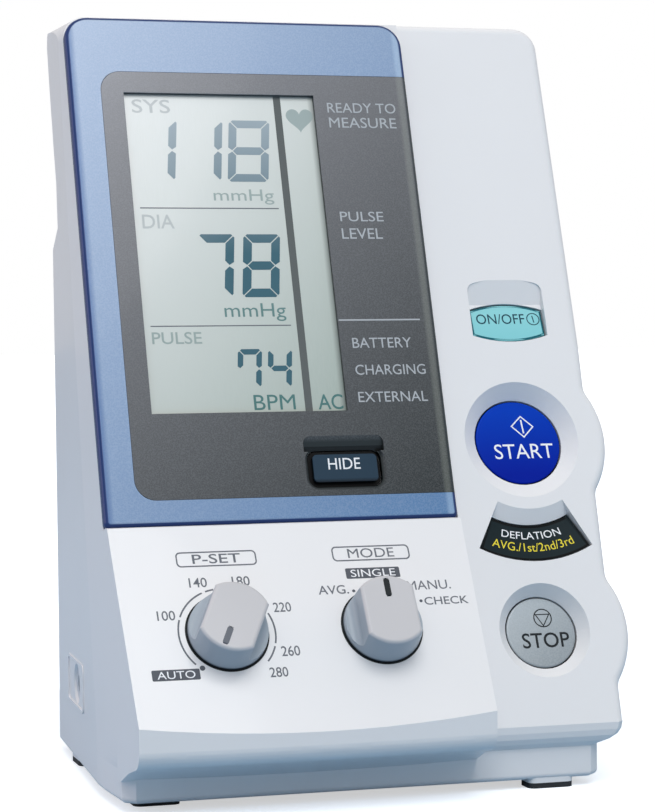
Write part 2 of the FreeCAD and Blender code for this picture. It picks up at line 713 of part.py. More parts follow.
BOARD_SEATS = (
    (DISPLAY, DISPLAY_POSTS, DISPLAY_BOARD_DEPTH, 3.0),
    (STRIP, KEY_POSTS, KEY_BOARD_DEPTH, 1.0),
    (CONTROL, CONTROL_POSTS, CONTROL_BOARD_DEPTH, 1.0),
)


# ---- case halves ----
def front_housing(outer, shell):
    stock = [block.common(outer) for block in guide_blocks()]
    for x, z in CASE_SCREWS:
        stock.append(along_y(BOSS_R, x, z, -60, 80).common(outer))
    for frame, spots, depth, top in BOARD_SEATS:
        stock += [pin.common(outer) for pin in local_pins(frame, spots, POST_R, -depth, -top)]
    body = join([shell] + stock).common(front_side())
    cuts = key_cuts() + [panel_room(), lcd_outline(LCD_MARGIN + COVER_GAP, -9, 1)]
    cuts.append(hide_outline(HIDE_MARGIN + KEY_GAP, -9, 1))
    cuts += local_pins(CONTROL, ((PSET_X, KNOB_S), (MODE_X, KNOB_S)), SHAFT_R + KNOB_GAP, -20, 20)
    for x, z in CASE_SCREWS:
        cuts.append(along_y(SCREW_R + SCREW_FIT, x, z, seam_y(z) - SCREW_BITE - 2, seam_y(z) + 5))
    for frame, spots, depth, top in BOARD_SEATS:
        cuts += local_pins(frame, spots, BOARD_SCREW_R + SCREW_FIT, -depth, -depth + BOARD_BITE + 1)
    body = cut(body, cuts)
    return join([body] + foot_bosses(FOOT_PADS[1:2]))


def foot_bosses(pads):
    """Low bosses under the plinth that the pads are stuck to."""
    return [rounded_slab(x0, x1, y0, y1, FOOT_HEIGHT, PLINTH_LOW + 0.4, 2.0) for x0, x1, y0, y1 in pads]


def rear_housing(outer, shell):
    stock = []
    for x, z in CASE_SCREWS:
        stock.append(along_y(BOSS_R, x, z, 0, 120).common(outer))
    for x, z in MAIN_POSTS:
        stock.append(along_y(POST_R, x, z, MAIN_BOARD_Y, CASE_BACK - 1))
    for x, y in COVER_SCREWS:
        stock.append(cylinder(3.0, V(x, y, PLINTH_LOW), V(0, 0, 1), COVER_SCREW_LENGTH + 3.0))
    for x0 in (0, CASE_WIDTH - 16):
        for y0 in (30, 67):
            stock.append(box(x0, x0 + 14, y0, y0 + 13, SHELF_Z - 6, SHELF_Z).common(outer))
    body = cut(join([shell] + stock), [front_side()])
    body = body.fuse(socket_frame())
    cuts = [battery_opening(0), cover_room(0), socket_hole(), socket_dish(), jack_hole()]
    for x, z in CASE_SCREWS:
        cuts.append(along_y(SCREW_R + SCREW_FIT, x, z, -20, 80))
        cuts.append(along_y(SCREW_HEAD_R + 0.3, x, z, seam_y(z) + SCREW_GRIP, 120))
    for x, z in MAIN_POSTS:
        cuts.append(along_y(BOARD_SCREW_R + SCREW_FIT, x, z, MAIN_BOARD_Y, MAIN_BOARD_Y + BOARD_BITE + 0.5))
    for x, y in COVER_SCREWS:
        depth = PLINTH_LOW + COVER_SCREW_SINK + COVER_SCREW_LENGTH + 0.4
        cuts.append(cylinder(BOARD_SCREW_R + SCREW_FIT, V(x, y, 0), V(0, 0, 1), depth))
    for x, y in SHELF_SCREWS:
        cuts.append(cylinder(BOARD_SCREW_R + SCREW_FIT, V(x, y, SHELF_Z - 5.5), V(0, 0, 1), 6))
    body = cut(body, cuts)
    return join([body] + foot_bosses(FOOT_PADS[:1] + FOOT_PADS[2:]))


def battery_opening(grow):
    return box(
        BATTERY_LEFT - grow, BATTERY_RIGHT + grow, BATTERY_FRONT - grow, BATTERY_REAR + grow,
        PLINTH_LOW - 1, PLINTH_LOW + 3,
    )


def cover_room(shrink):
    """Shallow seat for the cover's outer layer, under the plinth's floor."""
    left, right = BATTERY_LEFT - COVER_MARGIN + shrink, BATTERY_RIGHT + COVER_MARGIN - shrink
    return box(left, right, shrink, BATTERY_REAR + 2 - shrink, PLINTH_LOW, PLINTH_LOW + COVER_STEP)


def socket_hole():
    return cylinder(SOCKET_BODY + SCREW_FIT, V(-5, SOCKET_Y, SOCKET_Z), V(1, 0, 0), 15)


def side_place():
    """Frame on the left wall at the air socket: local X forwards, local Y up, local Z outwards."""
    lean = math.atan2(BACK_DRAFT, CASE_BACK - DRAFT_START)
    ahead = V(-math.sin(lean), -math.cos(lean), 0)
    out = V(-math.cos(lean), math.sin(lean), 0)
    turn = FreeCAD.Rotation(ahead, V(0, 0, 1), out, "ZYX")
    return FreeCAD.Placement(V(wall_x(SOCKET_Y), SOCKET_Y, SOCKET_Z), turn)


def socket_frame():
    """Raised outline round the air socket."""
    ring = rounded_slab(-15.6, 13.4, -6.5, 6.5, -0.8, SOCKET_RIM, 2.0)
    ring = ring.cut(rounded_slab(-14.8, 12.6, -5.7, 5.7, -2, 2, 1.2))
    return put(ring, side_place())


def socket_dish():
    """Cone that leads in to the socket. It goes on past the wall's face, so that it cuts it cleanly."""
    inner, outer = SOCKET_BODY + SCREW_FIT, SOCKET_BODY + 0.5
    beyond = 2 * outer - inner
    start = V(wall_x(SOCKET_Y) + SOCKET_SINK, SOCKET_Y, SOCKET_Z)
    return Part.makeCone(inner, beyond, 2 * SOCKET_SINK, start, V(-1, 0, 0))


def jack_hole():
    return along_y(JACK_BORE + 1.3, JACK_X, JACK_Z, 80, 95)


# ---- display ----
def display_bezel():
    plate = box(0, PANEL_WIDTH, 0, PANEL_HEIGHT, -PANEL_THICK, 0)
    plate = plate.makeFillet(PANEL_CORNER, edges_along(plate, V(0, 0, 1), lambda p: p.y < 1))
    top = edges_along(plate, V(0, 0, 1), lambda p: p.y > PANEL_HEIGHT - 1)
    plate = plate.makeFillet(HEAD_CORNER, top)
    rim = [edge for edge in plate.Edges if all(abs(v.Z) < 1e-4 for v in edge.Vertexes)]
    plate = put(plate.makeFillet(PANEL_EDGE, rim), DISPLAY)
    cuts = [window_room(0.0, -WINDOW_THICK, 5), lcd_outline(LCD_MARGIN + COVER_GAP, -9, 1)]
    cuts.append(hide_outline(HIDE_MARGIN + KEY_GAP, -9, 1))
    cuts.append(hide_ramp())
    return cut(plate, cuts)


def window_room(shrink, z0, z1):
    """The window's recess: rounded at the left, open at the panel's right edge."""
    left, low, high = WINDOW_LEFT + shrink, WINDOW_LOW + shrink, WINDOW_HIGH - shrink
    slab = box(left, PANEL_WIDTH + 5, low, high, z0, z1)
    slab = slab.makeFillet(WINDOW_CORNER, edges_along(slab, V(0, 0, 1), lambda p: p.x < PANEL_WIDTH))
    return put(slab, DISPLAY)


def hide_ramp():
    """Pocket of the HIDE key: a finger ramp above the key and a bevel round its other sides."""
    grow = HIDE_MARGIN + KEY_GAP
    w, h = HIDE_WIDTH / 2 + grow, HIDE_HEIGHT / 2 + grow
    high = HIDE_S + h
    outline = [(high - 0.6, 1.0), (high - 0.6, -2.0), (high + HIDE_RAMP, 0), (high + HIDE_RAMP, 1.0)]
    x0, x1 = HIDE_X - w - HIDE_BEVEL, HIDE_X + w + HIDE_BEVEL
    room = rounded_slab(x0, x1, HIDE_S, high + HIDE_RAMP, -5, 5, HIDE_CORNER)
    ramp = put(local_side_prism(outline, x0, x1).common(room), DISPLAY)
    loops = []
    for depth, wide in ((-HIDE_BEVEL, 0.0), (0.0, HIDE_BEVEL), (1.0, HIDE_BEVEL)):
        plan = rounded_slab(
            HIDE_X - w - wide, HIDE_X + w + wide, HIDE_S - h - wide, high + 0.3, depth, depth + 1,
            1.2 + grow + wide,
        )
        rim = [face for face in plan.Faces if abs(face.CenterOfMass.z - depth) < 1e-6]
        loops.append(rim[0].OuterWire)
    return ramp.fuse(put(Part.makeLoft(loops, True, True), DISPLAY))


def display_window():
    plate = window_room(0.1, -WINDOW_THICK, 0).common(rolled_right())
    cuts = [lcd_outline(0, -9, 1), hide_outline(HIDE_MARGIN + KEY_GAP, -9, 1), hide_ramp()]
    return cut(plate, cuts)


def rolled_right():
    """The panel's right edge rolls down to the key strip."""
    block = box(0, PANEL_WIDTH, -5, PANEL_HEIGHT + 5, -PANEL_THICK, 0)
    edge = edges_along(block, V(0, 1, 0), lambda p: p.x > 1 and p.z > -0.1)
    return put(block.makeFillet(PANEL_EDGE, edge), DISPLAY)


def lcd_glass():
    return lcd_outline(LCD_MARGIN, -WINDOW_THICK - LCD_THICK, -WINDOW_THICK)


def lcd_backlight():
    top = -WINDOW_THICK - LCD_THICK
    return lcd_outline(LCD_MARGIN - 0.6, top - 3.0, top)


def lcd_holder():
    """Frame on the display board that carries the backlight and the glass."""
    top = -WINDOW_THICK - LCD_THICK
    body = lcd_outline(LCD_MARGIN, -DISPLAY_BOARD_DEPTH, top)
    pocket = lcd_outline(LCD_MARGIN - 0.6, top - 3.0, top)
    hollow = lcd_outline(LCD_MARGIN - 3.0, -DISPLAY_BOARD_DEPTH, top - 4.5)
    return cut(body, [pocket, hollow])


def display_board():
    low, high = -DISPLAY_BOARD_DEPTH - BOARD_THICK, -DISPLAY_BOARD_DEPTH
    board = put(box(12.6, BOARD_RIGHT, 6, BOARD_HIGH, low, high), DISPLAY)
    return cut(board, local_pins(DISPLAY, DISPLAY_POSTS, BOARD_SCREW_R + SCREW_FIT, low - 1, high + 1))


# ---- keys ----
def stem_length(depth, lean, board_depth):
    """From a key's face down to just above its switch when the key is fully pressed."""
    room = board_depth - SWITCH_HEIGHT - PLUNGER_HEIGHT - KEY_TRAVEL - KEY_STOP - depth
    return room / cos(lean)


def round_key(frame, radius):
    low = -KEY_SLEEVE - KEY_STOP - KEY_FLANGE
    cap = cylinder(radius, V(0, 0, low), V(0, 0, 1), -low)
    cap = cap.makeFillet(0.5, [edge for edge in cap.Edges if abs(edge.CenterOfMass.z) < 1e-6])
    flange = cylinder(radius + KEY_GAP + KEY_LEDGE, V(0, 0, low), V(0, 0, 1), KEY_FLANGE)
    hollow = cylinder(radius - KEY_WALL, V(0, 0, low), V(0, 0, 1), -low - KEY_WALL)
    length = stem_length(KEY_DEPTH, KEY_LEAN, KEY_BOARD_DEPTH)
    stem = cylinder(KEY_STEM_R, V(0, 0, -KEY_WALL), V(0, 0, -1), length - KEY_WALL)
    return put(join([cap, flange]).cut(hollow).fuse(stem).removeSplitter(), frame)


def on_off_key():
    top, low = -ONOFF_SLEEVE, -ONOFF_SLEEVE - KEY_FLANGE
    cap = barrel(0, low, 0)
    cap = cap.makeFillet(0.5, [edge for edge in cap.Edges if abs(edge.CenterOfMass.z) < 1e-6])
    flange = barrel(KEY_GAP + KEY_LEDGE, low, top)
    hollow = barrel(-KEY_WALL, low, -KEY_WALL)
    length = stem_length(ONOFF_DEPTH, ONOFF_LEAN, KEY_BOARD_DEPTH)
    stem = cylinder(KEY_STEM_R, V(0, 0, -KEY_WALL), V(0, 0, -1), length - KEY_WALL)
    return put(join([cap, flange]).cut(hollow).fuse(stem).removeSplitter(), ONOFF)


def deflation_key():
    guide = -KEY_SLEEVE - 1 - KEY_STOP
    low = guide - KEY_FLANGE
    inner, outer = DEFLATE_IN, DEFLATE_OUT
    section = [(inner, -DEFLATE_HIGH), (inner, low), (outer, low), (outer, -DEFLATE_LOW)]
    cap = ring_sector(section, DEFLATE_ANGLE)
    grow = KEY_GAP + KEY_LEDGE
    flange = ring_sector(deflate_profile(grow, low, guide), deflate_angle(grow))
    flange = flange.common(head_front(WALL + KEY_SIDE_GAP))
    inner, outer = DEFLATE_IN + KEY_WALL, DEFLATE_OUT - KEY_WALL
    near, far = -DEFLATE_HIGH - KEY_WALL, -DEFLATE_LOW - KEY_WALL
    hollow = ring_sector([(inner, low), (outer, low), (outer, far), (inner, near)], DEFLATE_ANGLE - 4)
    spot = DEFLATE_SPOT
    length = stem_length(DEFLATE_LOW, 0, KEY_BOARD_DEPTH) - KEY_WALL
    stem = put(cylinder(KEY_STEM_R, V(spot.x, spot.y, -DEFLATE_LOW - KEY_WALL), V(0, 0, -1), length), STRIP)
    return join([cap, flange]).cut(hollow).fuse(stem).removeSplitter()


def hide_key():
    low = -HIDE_SLEEVE - KEY_FLANGE
    cap = hide_outline(0, low, -HIDE_DEPTH)
    collar = hide_outline(HIDE_MARGIN, low, -WINDOW_THICK - 0.6)
    flange = hide_outline(HIDE_MARGIN + KEY_GAP + KEY_LEDGE, low, -HIDE_SLEEVE)
    length = stem_length(HIDE_DEPTH, 0, DISPLAY_BOARD_DEPTH)
    stem = cylinder(KEY_STEM_R, V(HIDE_X, HIDE_S, -HIDE_DEPTH - 1), V(0, 0, -1), length - 1)
    return join([cap, collar, flange, put(stem, DISPLAY)])


def stem_spot(frame, lean, depth):
    """Where a key's stem meets its switch, on the key strip."""
    end = frame.multVec(V(0, 0, -stem_length(depth, lean, KEY_BOARD_DEPTH)))
    return STRIP.inverse().multVec(end)


DEFLATE_SPOT = V(START_X, START_S - (DEFLATE_IN + DEFLATE_OUT) / 2, 0)
KEY_SWITCH_SPOTS = (
    stem_spot(START, KEY_LEAN, KEY_DEPTH), stem_spot(STOP, KEY_LEAN, KEY_DEPTH),
    stem_spot(ONOFF, ONOFF_LEAN, ONOFF_DEPTH), DEFLATE_SPOT,
)


def tact_switch(x, y, board, frame):
    """Switch body with its plunger, on a board's front face."""
    half = SWITCH_SIZE / 2
    body = box(x - half, x + half, y - half, y + half, -board, -board + SWITCH_HEIGHT)
    plunger = cylinder(1.7, V(x, y, -board + SWITCH_HEIGHT - 0.5), V(0, 0, 1), PLUNGER_HEIGHT + 0.5)
    return put(body.fuse(plunger).removeSplitter(), frame)


def key_switches():
    return Part.makeCompound([tact_switch(p.x, p.y, KEY_BOARD_DEPTH, STRIP) for p in KEY_SWITCH_SPOTS])


def hide_switch():
    return tact_switch(HIDE_X, HIDE_S, DISPLAY_BOARD_DEPTH, DISPLAY)


def key_board():
    low, high = -KEY_BOARD_DEPTH - BOARD_THICK, -KEY_BOARD_DEPTH
    board = box(KEY_BOARD_LEFT, KEY_BOARD_RIGHT, STOP_S - 6.7, ONOFF_S + 7.65, low, high)
    board = put(board, STRIP)
    return cut(board, local_pins(STRIP, KEY_POSTS, BOARD_SCREW_R + SCREW_FIT, low - 1, high + 1))


# ---- knobs ----
def knob(x, pointer):
    """Skirted knob with two flats that leave a bar to grip; its mark points up the face at zero."""
    base = KNOB_GAP
    body = Part.makeCone(KNOB_R, KNOB_TOP_R, KNOB_HEIGHT - base, V(0, 0, base), V(0, 0, 1))
    for side in (-1, 1):
        near, far = sorted((side * GRIP_WIDTH / 2, side * 20))
        scoop = box(near, far, -20, 20, KNOB_SKIRT, 20)
        inner = edges_along(scoop, V(0, 1, 0), lambda p: abs(p.x) < GRIP_WIDTH and p.z < 5)
        body = body.cut(scoop.makeFillet(2.2, inner))
    top = [edge for edge in body.Edges if all(abs(v.Z - KNOB_HEIGHT) < 1e-4 for v in edge.Vertexes)]
    body = body.makeFillet(0.9, top)
    mark = box(-MARK_WIDTH / 2, MARK_WIDTH / 2, MARK_IN, MARK_OUT, KNOB_HEIGHT - MARK_DEPTH, KNOB_HEIGHT + 1)
    hollow = cylinder(5.9, V(0, 0, 0), V(0, 0, 1), KNOB_HEIGHT - 3.0)
    hub = cylinder(4.6, V(0, 0, base), V(0, 0, 1), KNOB_HEIGHT - base - 2.0)
    body = cut(body, [mark, hollow]).fuse(hub).cut(shaft_bar(SHAFT_R + SCREW_FIT, 0, KNOB_HEIGHT - 2.4))
    return turned(body.removeSplitter(), x, pointer)


def shaft_bar(radius, z0, z1):
    """Round bar with a flat over its upper length."""
    bar = cylinder(radius, V(0, 0, z0), V(0, 0, 1), z1 - z0)
    return bar.cut(box(radius - 1.0, 5, -5, 5, max(z0, KNOB_GAP), z1 + 1))


def turned(shape, x, pointer):
    shape.rotate(V(0, 0, 0), V(0, 0, 1), -pointer)
    shape.translate(V(x, KNOB_S, 0))
    return put(shape, CONTROL)


def knob_shaft(x, pointer):
    return turned(shaft_bar(SHAFT_R, -CONTROL_BOARD_DEPTH + 1.8, KNOB_HEIGHT - 2.7), x, pointer)


def rotary_switch(x):
    half = SWITCH_BODY / 2
    top = -CONTROL_BOARD_DEPTH + SWITCH_BODY_DEPTH
    body = box(x - half, x + half, KNOB_S - half, KNOB_S + half, -CONTROL_BOARD_DEPTH, top)
    bore = cylinder(SHAFT_R + SHAFT_FIT, V(x, KNOB_S, -CONTROL_BOARD_DEPTH + 1.4), V(0, 0, 1), 20)
    return put(body.cut(bore), CONTROL)


def control_board():
    low, high = -CONTROL_BOARD_DEPTH - BOARD_THICK, -CONTROL_BOARD_DEPTH
    board = box(PSET_X - 13.8, MODE_X + 14.7, KNOB_S - 14.0, KNOB_S + 15.0, low, high)
    board = put(board, CONTROL)
    return cut(board, local_pins(CONTROL, CONTROL_POSTS, BOARD_SCREW_R + SCREW_FIT, low - 1, high + 1))


# ---- fasteners ----
def screw(radius, head_radius, head_height, length):
    """Pan-head screw along Z: its head sits on z = 0 and its thread runs down."""
    head = cylinder(head_radius, V(0, 0, 0), V(0, 0, 1), head_height)
    head = head.makeFillet(0.4, [edge for edge in head.Edges if edge.CenterOfMass.z > head_height - 0.01])
    shank = cylinder(radius, V(0, 0, -length), V(0, 0, 1), length)
    floor = head_height - 0.7
    return cut(head.fuse(shank), [box(-0.4, 0.4, -1.3, 1.3, floor, 5), box(-1.3, 1.3, -0.4, 0.4, floor, 5)])


def case_screws():
    made = []
    for x, z in CASE_SCREWS:
        part = screw(SCREW_R, SCREW_HEAD_R, SCREW_HEAD_H, SCREW_GRIP + SCREW_BITE)
        frame = FreeCAD.Placement(V(x, seam_y(z) + SCREW_GRIP, z), FreeCAD.Rotation(V(1, 0, 0), -90))
        made.append(put(part, frame))
    return Part.makeCompound(made)


def board_screw():
    return screw(BOARD_SCREW_R, BOARD_HEAD_R, BOARD_HEAD_H, BOARD_THICK + BOARD_BITE)


def board_screws():
    made = []
    flip = FreeCAD.Rotation(V(1, 0, 0), 180)
    for frame, spots, depth, top in BOARD_SEATS:
        for x, y in spots:
            seat = FreeCAD.Placement(V(x, y, -depth - BOARD_THICK), flip)
            made.append(put(board_screw(), frame.multiply(seat)))
    return Part.makeCompound(made)


def main_board_screws():
    turn = FreeCAD.Rotation(V(1, 0, 0), 90)
    seats = [FreeCAD.Placement(V(x, MAIN_BOARD_Y - BOARD_THICK, z), turn) for x, z in MAIN_POSTS]
    return Part.makeCompound([put(board_screw(), seat) for seat in seats])


def shelf_screws():
    made = []
    for x, y in SHELF_SCREWS:
        part = screw(BOARD_SCREW_R, BOARD_HEAD_R, BOARD_HEAD_H, SHELF_THICK + 4.5)
        part.translate(V(x, y, SHELF_Z + SHELF_THICK))
        made.append(part)
    return Part.makeCompound(made)


def cover_screws():
    made = []
    for x, y in COVER_SCREWS:
        part = screw(BOARD_SCREW_R, BOARD_HEAD_R, COVER_SCREW_HEAD, COVER_SCREW_LENGTH)
        flip = FreeCAD.Rotation(V(1, 0, 0), 180)
        made.append(put(part, FreeCAD.Placement(V(x, y, PLINTH_LOW + COVER_SCREW_SINK), flip)))
    return Part.makeCompound(made)


# ---- batteries ----
def battery_cells():
    """Shrink-wrapped row of cells."""
    made = []
    for i in range(CELL_COUNT):
        y = CELL_Y + CELL_PITCH * i
        made.append(cylinder(CELL_R, V(CELL_X, y, CELL_Z), V(1, 0, 0), CELL_LENGTH - 1.2))
        made.append(cylinder(2.6, V(CELL_X, y, CELL_Z), V(1, 0, 0), CELL_LENGTH))
    last = CELL_Y + CELL_PITCH * (CELL_COUNT - 1)
    made.append(box(CELL_X + 1, CELL_X + CELL_LENGTH - 2.5, CELL_Y, last, CELL_Z - 4, CELL_Z + 4))
    return join(made)


def battery_box():
    floor = PLINTH_LOW + WALL
    wall = BATTERY_WALL
    body = box(
        BATTERY_LEFT - wall, BATTERY_RIGHT + wall, BATTERY_FRONT - wall, BATTERY_REAR + wall,
        floor, BATTERY_TOP + wall,
    )
    inside = box(BATTERY_LEFT, BATTERY_RIGHT, BATTERY_FRONT, BATTERY_REAR, floor, BATTERY_TOP)
    notches = [
        box(x - 0.5, x + TAB_WIDTH + 0.5, BATTERY_REAR - 1, BATTERY_REAR + 5, floor, floor + 2.2)
        for x in TAB_SPOTS
    ]
    lead = cylinder(1.6, V(BATTERY_RIGHT - 2, 60, 16), V(1, 0, 0), 8)
    return cut(body, [inside, lead] + notches)


def battery_cover():
    gap = COVER_GAP
    plate = cover_room(gap)
    floor = PLINTH_LOW + WALL
    inner = box(
        BATTERY_LEFT + gap, BATTERY_RIGHT - gap, BATTERY_FRONT + gap, BATTERY_REAR - gap,
        PLINTH_LOW + 0.5, floor,
    )
    made = [plate, inner]
    for x in TAB_SPOTS:
        end = x + TAB_WIDTH
        made.append(box(x, end, BATTERY_REAR - 4, BATTERY_REAR - gap, PLINTH_LOW + 1, floor + 1.9))
        made.append(box(x, end, BATTERY_REAR - 4, BATTERY_REAR + 1.6, floor + 0.1, floor + 1.9))
    body = join(made)
    cuts = []
    for x, y in COVER_SCREWS:
        cuts.append(cylinder(BOARD_SCREW_R + SCREW_FIT, V(x, y, 0), V(0, 0, 1), 10))
        cuts.append(cylinder(BOARD_HEAD_R + 0.3, V(x, y, 0), V(0, 0, 1), PLINTH_LOW + COVER_SCREW_SINK))
    for i in range(7):
        y = BATTERY_REAR - 12 + 1.6 * i
        cuts.append(box(46, 66, y, y + 0.8, PLINTH_LOW - 1, PLINTH_LOW + 0.5))
    return cut(body, cuts)


def battery_pad():
    """Foam pad between the cover and the cells."""
    edge = 6.0
    pad = box(
        BATTERY_LEFT + edge, BATTERY_RIGHT - edge, BATTERY_FRONT + edge, BATTERY_REAR - edge,
        PLINTH_LOW + WALL, CELL_Z - 4.6,
    )
    return pad.cut(battery_cells())


# ---- pump ----
def pump_motor():
    body = along_y(PUMP_R, PUMP_X, PUMP_Z, PUMP_Y, PUMP_Y + MOTOR_LENGTH)
    ends = [edge for edge in body.Edges if abs(edge.CenterOfMass.y - PUMP_Y) < 1e-6 and edge.Closed]
    body = body.makeFillet(1.2, ends)
    tail = along_y(4.0, PUMP_X, PUMP_Z, PUMP_Y - 1.5, PUMP_Y + 1)
    end = PUMP_Y + MOTOR_LENGTH
    bore = along_y(CRANK_R + CRANK_FIT, PUMP_X, PUMP_Z, end - 12, end + 1)
    return body.fuse(tail).cut(bore).removeSplitter()


def pump_head():
    start = PUMP_Y + MOTOR_LENGTH
    end = start + HEAD_LENGTH
    body = along_y(PUMP_HEAD_R, PUMP_X, PUMP_Z, start, end)
    port = cylinder(PORT_R, V(PUMP_X, end - 6, PUMP_Z + PUMP_HEAD_R - 3), V(0, 0, 1), 9.5)
    body = body.fuse(port).removeSplitter()
    cavity = along_y(10.0, PUMP_X, PUMP_Z, start - 1, end - 4)
    grooves = [
        along_y(20, PUMP_X, PUMP_Z, y, y + 0.8).cut(along_y(PUMP_HEAD_R - 0.7, PUMP_X, PUMP_Z, y, y + 0.8))
        for y in (start + 3.5, start + 9.5)
    ]
    return cut(body, [cavity, cylinder(1.0, V(PUMP_X, end - 6, PUMP_Z + 8), V(0, 0, 1), 20)] + grooves)


def pump_crank():
    start = PUMP_Y + MOTOR_LENGTH
    shaft = along_y(CRANK_R, PUMP_X, PUMP_Z, start - 10, start + 4)
    disc = along_y(6.0, PUMP_X, PUMP_Z, start + 4, start + 7.5)
    pin = along_y(1.2, PUMP_X, PUMP_Z - 4, start + 7, start + 12)
    return join([shaft, disc, pin])


def strap_screw_x():
    reach = PUMP_R + STRAP_THICK + STRAP_HEAD_R + STRAP_HEAD_GAP
    return PUMP_X - reach, PUMP_X + reach


def pump_cradle():
    left, right = (strap_screw_x()[0] - 2.4, strap_screw_x()[1] + 2.4)
    floor = PLINTH_LOW + WALL
    body = box(left, right, CRADLE_Y, CRADLE_Y + CRADLE_LENGTH, floor, PUMP_Z)
    body = body.cut(along_y(PUMP_R, PUMP_X, PUMP_Z, 0, 90))
    middle = CRADLE_Y + CRADLE_LENGTH / 2
    holes = [cylinder(SCREW_R + SCREW_FIT, V(x, middle, PUMP_Z - 9), V(0, 0, 1), 12) for x in strap_screw_x()]
    return cut(body, holes)


def pump_strap():
    left, right = (strap_screw_x()[0] - 2.4, strap_screw_x()[1] + 2.4)
    y0, y1 = CRADLE_Y + 1, CRADLE_Y + CRADLE_LENGTH - 1
    hoop = along_y(PUMP_R + STRAP_THICK, PUMP_X, PUMP_Z, y0, y1)
    ears = box(left, right, y0, y1, PUMP_Z, PUMP_Z + STRAP_THICK)
    body = join([hoop.common(box(0, FAR, 0, FAR, PUMP_Z, FAR)), ears])
    middle = CRADLE_Y + CRADLE_LENGTH / 2
    cuts = [along_y(PUMP_R, PUMP_X, PUMP_Z, 0, 90)]
    cuts += [cylinder(SCREW_R + SCREW_FIT, V(x, middle, PUMP_Z - 2), V(0, 0, 1), 12) for x in strap_screw_x()]
    return cut(body, cuts)


def strap_screws():
    made = []
    for x in strap_screw_x():
        part = screw(SCREW_R, STRAP_HEAD_R, SCREW_HEAD_H, 8.0)
        part.translate(V(x, CRADLE_Y + CRADLE_LENGTH / 2, PUMP_Z + STRAP_THICK))
        made.append(part)
    return Part.makeCompound(made)


# ---- air path ----
def hose(points, bend):
    """Hose along straight runs with rounded bends."""
    edges = []
    start = points[0]
    for corner, after in zip(points[1:-1], points[2:]):
        back = (start - corner).normalize()
        ahead = (after - corner).normalize()
        half = back.getAngle(ahead) / 2
        reach = bend / math.tan(half)
        first, last = corner + back * reach, corner + ahead * reach
        middle = (back + ahead).normalize()
        crown = corner + middle * (bend / math.sin(half) - bend)
        edges += [Part.makeLine(start, first), Part.Arc(first, crown, last).toShape()]
        start = last
    edges.append(Part.makeLine(start, points[-1]))
    spine = Part.Wire(edges)
    heading = points[1] - points[0]
    solids = []
    for radius in (HOSE_R, HOSE_BORE):
        ring = Part.Wire([Part.makeCircle(radius, points[0], heading)])
        solids.append(spine.makePipeShell([ring], True, False))
    return solids[0].cut(solids[1])


def air_socket():
    """Elbow in the left wall: the cuff hose plugs in from outside, the inner hose leaves upwards."""
    x0 = wall_x(SOCKET_Y) + SOCKET_SINK
    body = cylinder(SOCKET_BODY, V(x0, SOCKET_Y, SOCKET_Z), V(1, 0, 0), SOCKET_END - x0)
    inside = x0 - SOCKET_SINK + WALL + 0.6
    flange = cylinder(SOCKET_BODY + 1.6, V(inside, SOCKET_Y, SOCKET_Z), V(1, 0, 0), 1.6)
    port = cylinder(PORT_R, V(ELBOW_X, SOCKET_Y, SOCKET_Z), V(0, 0, 1), 11)
    bore = cylinder(SOCKET_BORE, V(x0 - 1, SOCKET_Y, SOCKET_Z), V(1, 0, 0), SOCKET_END - x0 - 1)
    rise = cylinder(1.1, V(ELBOW_X, SOCKET_Y, SOCKET_Z), V(0, 0, 1), 20)
    return cut(join([body, flange, port]), [bore, rise])


def wall_x(y):
    """Outer face of the left wall."""
    return BACK_DRAFT * (y - DRAFT_START) / (CASE_BACK - DRAFT_START)


def socket_hose():
    x1 = MANIFOLD_PORTS[0]
    return hose([
        V(ELBOW_X, SOCKET_Y, SOCKET_Z + SOCKET_BODY + 0.4), V(ELBOW_X, SOCKET_Y, 70),
        V(x1, MANIFOLD_Y, 70), V(x1, MANIFOLD_Y, MANIFOLD_TOP + 0.3),
    ], 7.0)


def pump_hose():
    x1, y0 = MANIFOLD_PORTS[2], PUMP_Y + MOTOR_LENGTH + HEAD_LENGTH - 6
    return hose([
        V(PUMP_X, y0, PUMP_Z + PUMP_HEAD_R + 0.6), V(PUMP_X, y0, 72), V(x1, MANIFOLD_Y, 72),
        V(x1, MANIFOLD_Y, MANIFOLD_TOP + 0.3),
    ], 10.0)


def sensor_hose():
    x = MANIFOLD_PORTS[1]
    return hose([
        V(x, MANIFOLD_Y, MANIFOLD_TOP + 0.3), V(x, MANIFOLD_Y, SENSOR_Z), V(x, SENSOR_Y - 0.3, SENSOR_Z),
    ], 7.0)


def manifold():
    body = box(20, 74, MANIFOLD_Y - 7, MANIFOLD_Y + 7, SHELF_Z + SHELF_THICK, MANIFOLD_TOP)
    body = body.makeFillet(1.0, edges_along(body, V(0, 0, 1)))
    made = [body]
    for x in MANIFOLD_PORTS:
        made.append(cylinder(PORT_R, V(x, MANIFOLD_Y, MANIFOLD_TOP - 1), V(0, 0, 1), 9.0))
    for x in PEG_SPOTS:
        made.append(cylinder(1.5, V(x, MANIFOLD_Y, SHELF_Z - 1), V(0, 0, 1), 5))
    whole = join(made)
    cuts = [cylinder(1.0, V(x, MANIFOLD_Y, 46), V(0, 0, 1), 30) for x in MANIFOLD_PORTS]
    cuts.append(cylinder(1.6, V(19, MANIFOLD_Y, 46), V(1, 0, 0), 53))
    cuts += [along_y(HOSE_BORE, x, 46, MANIFOLD_Y - 8, MANIFOLD_Y) for x in VALVE_SPOTS]
    return cut(whole, cuts)


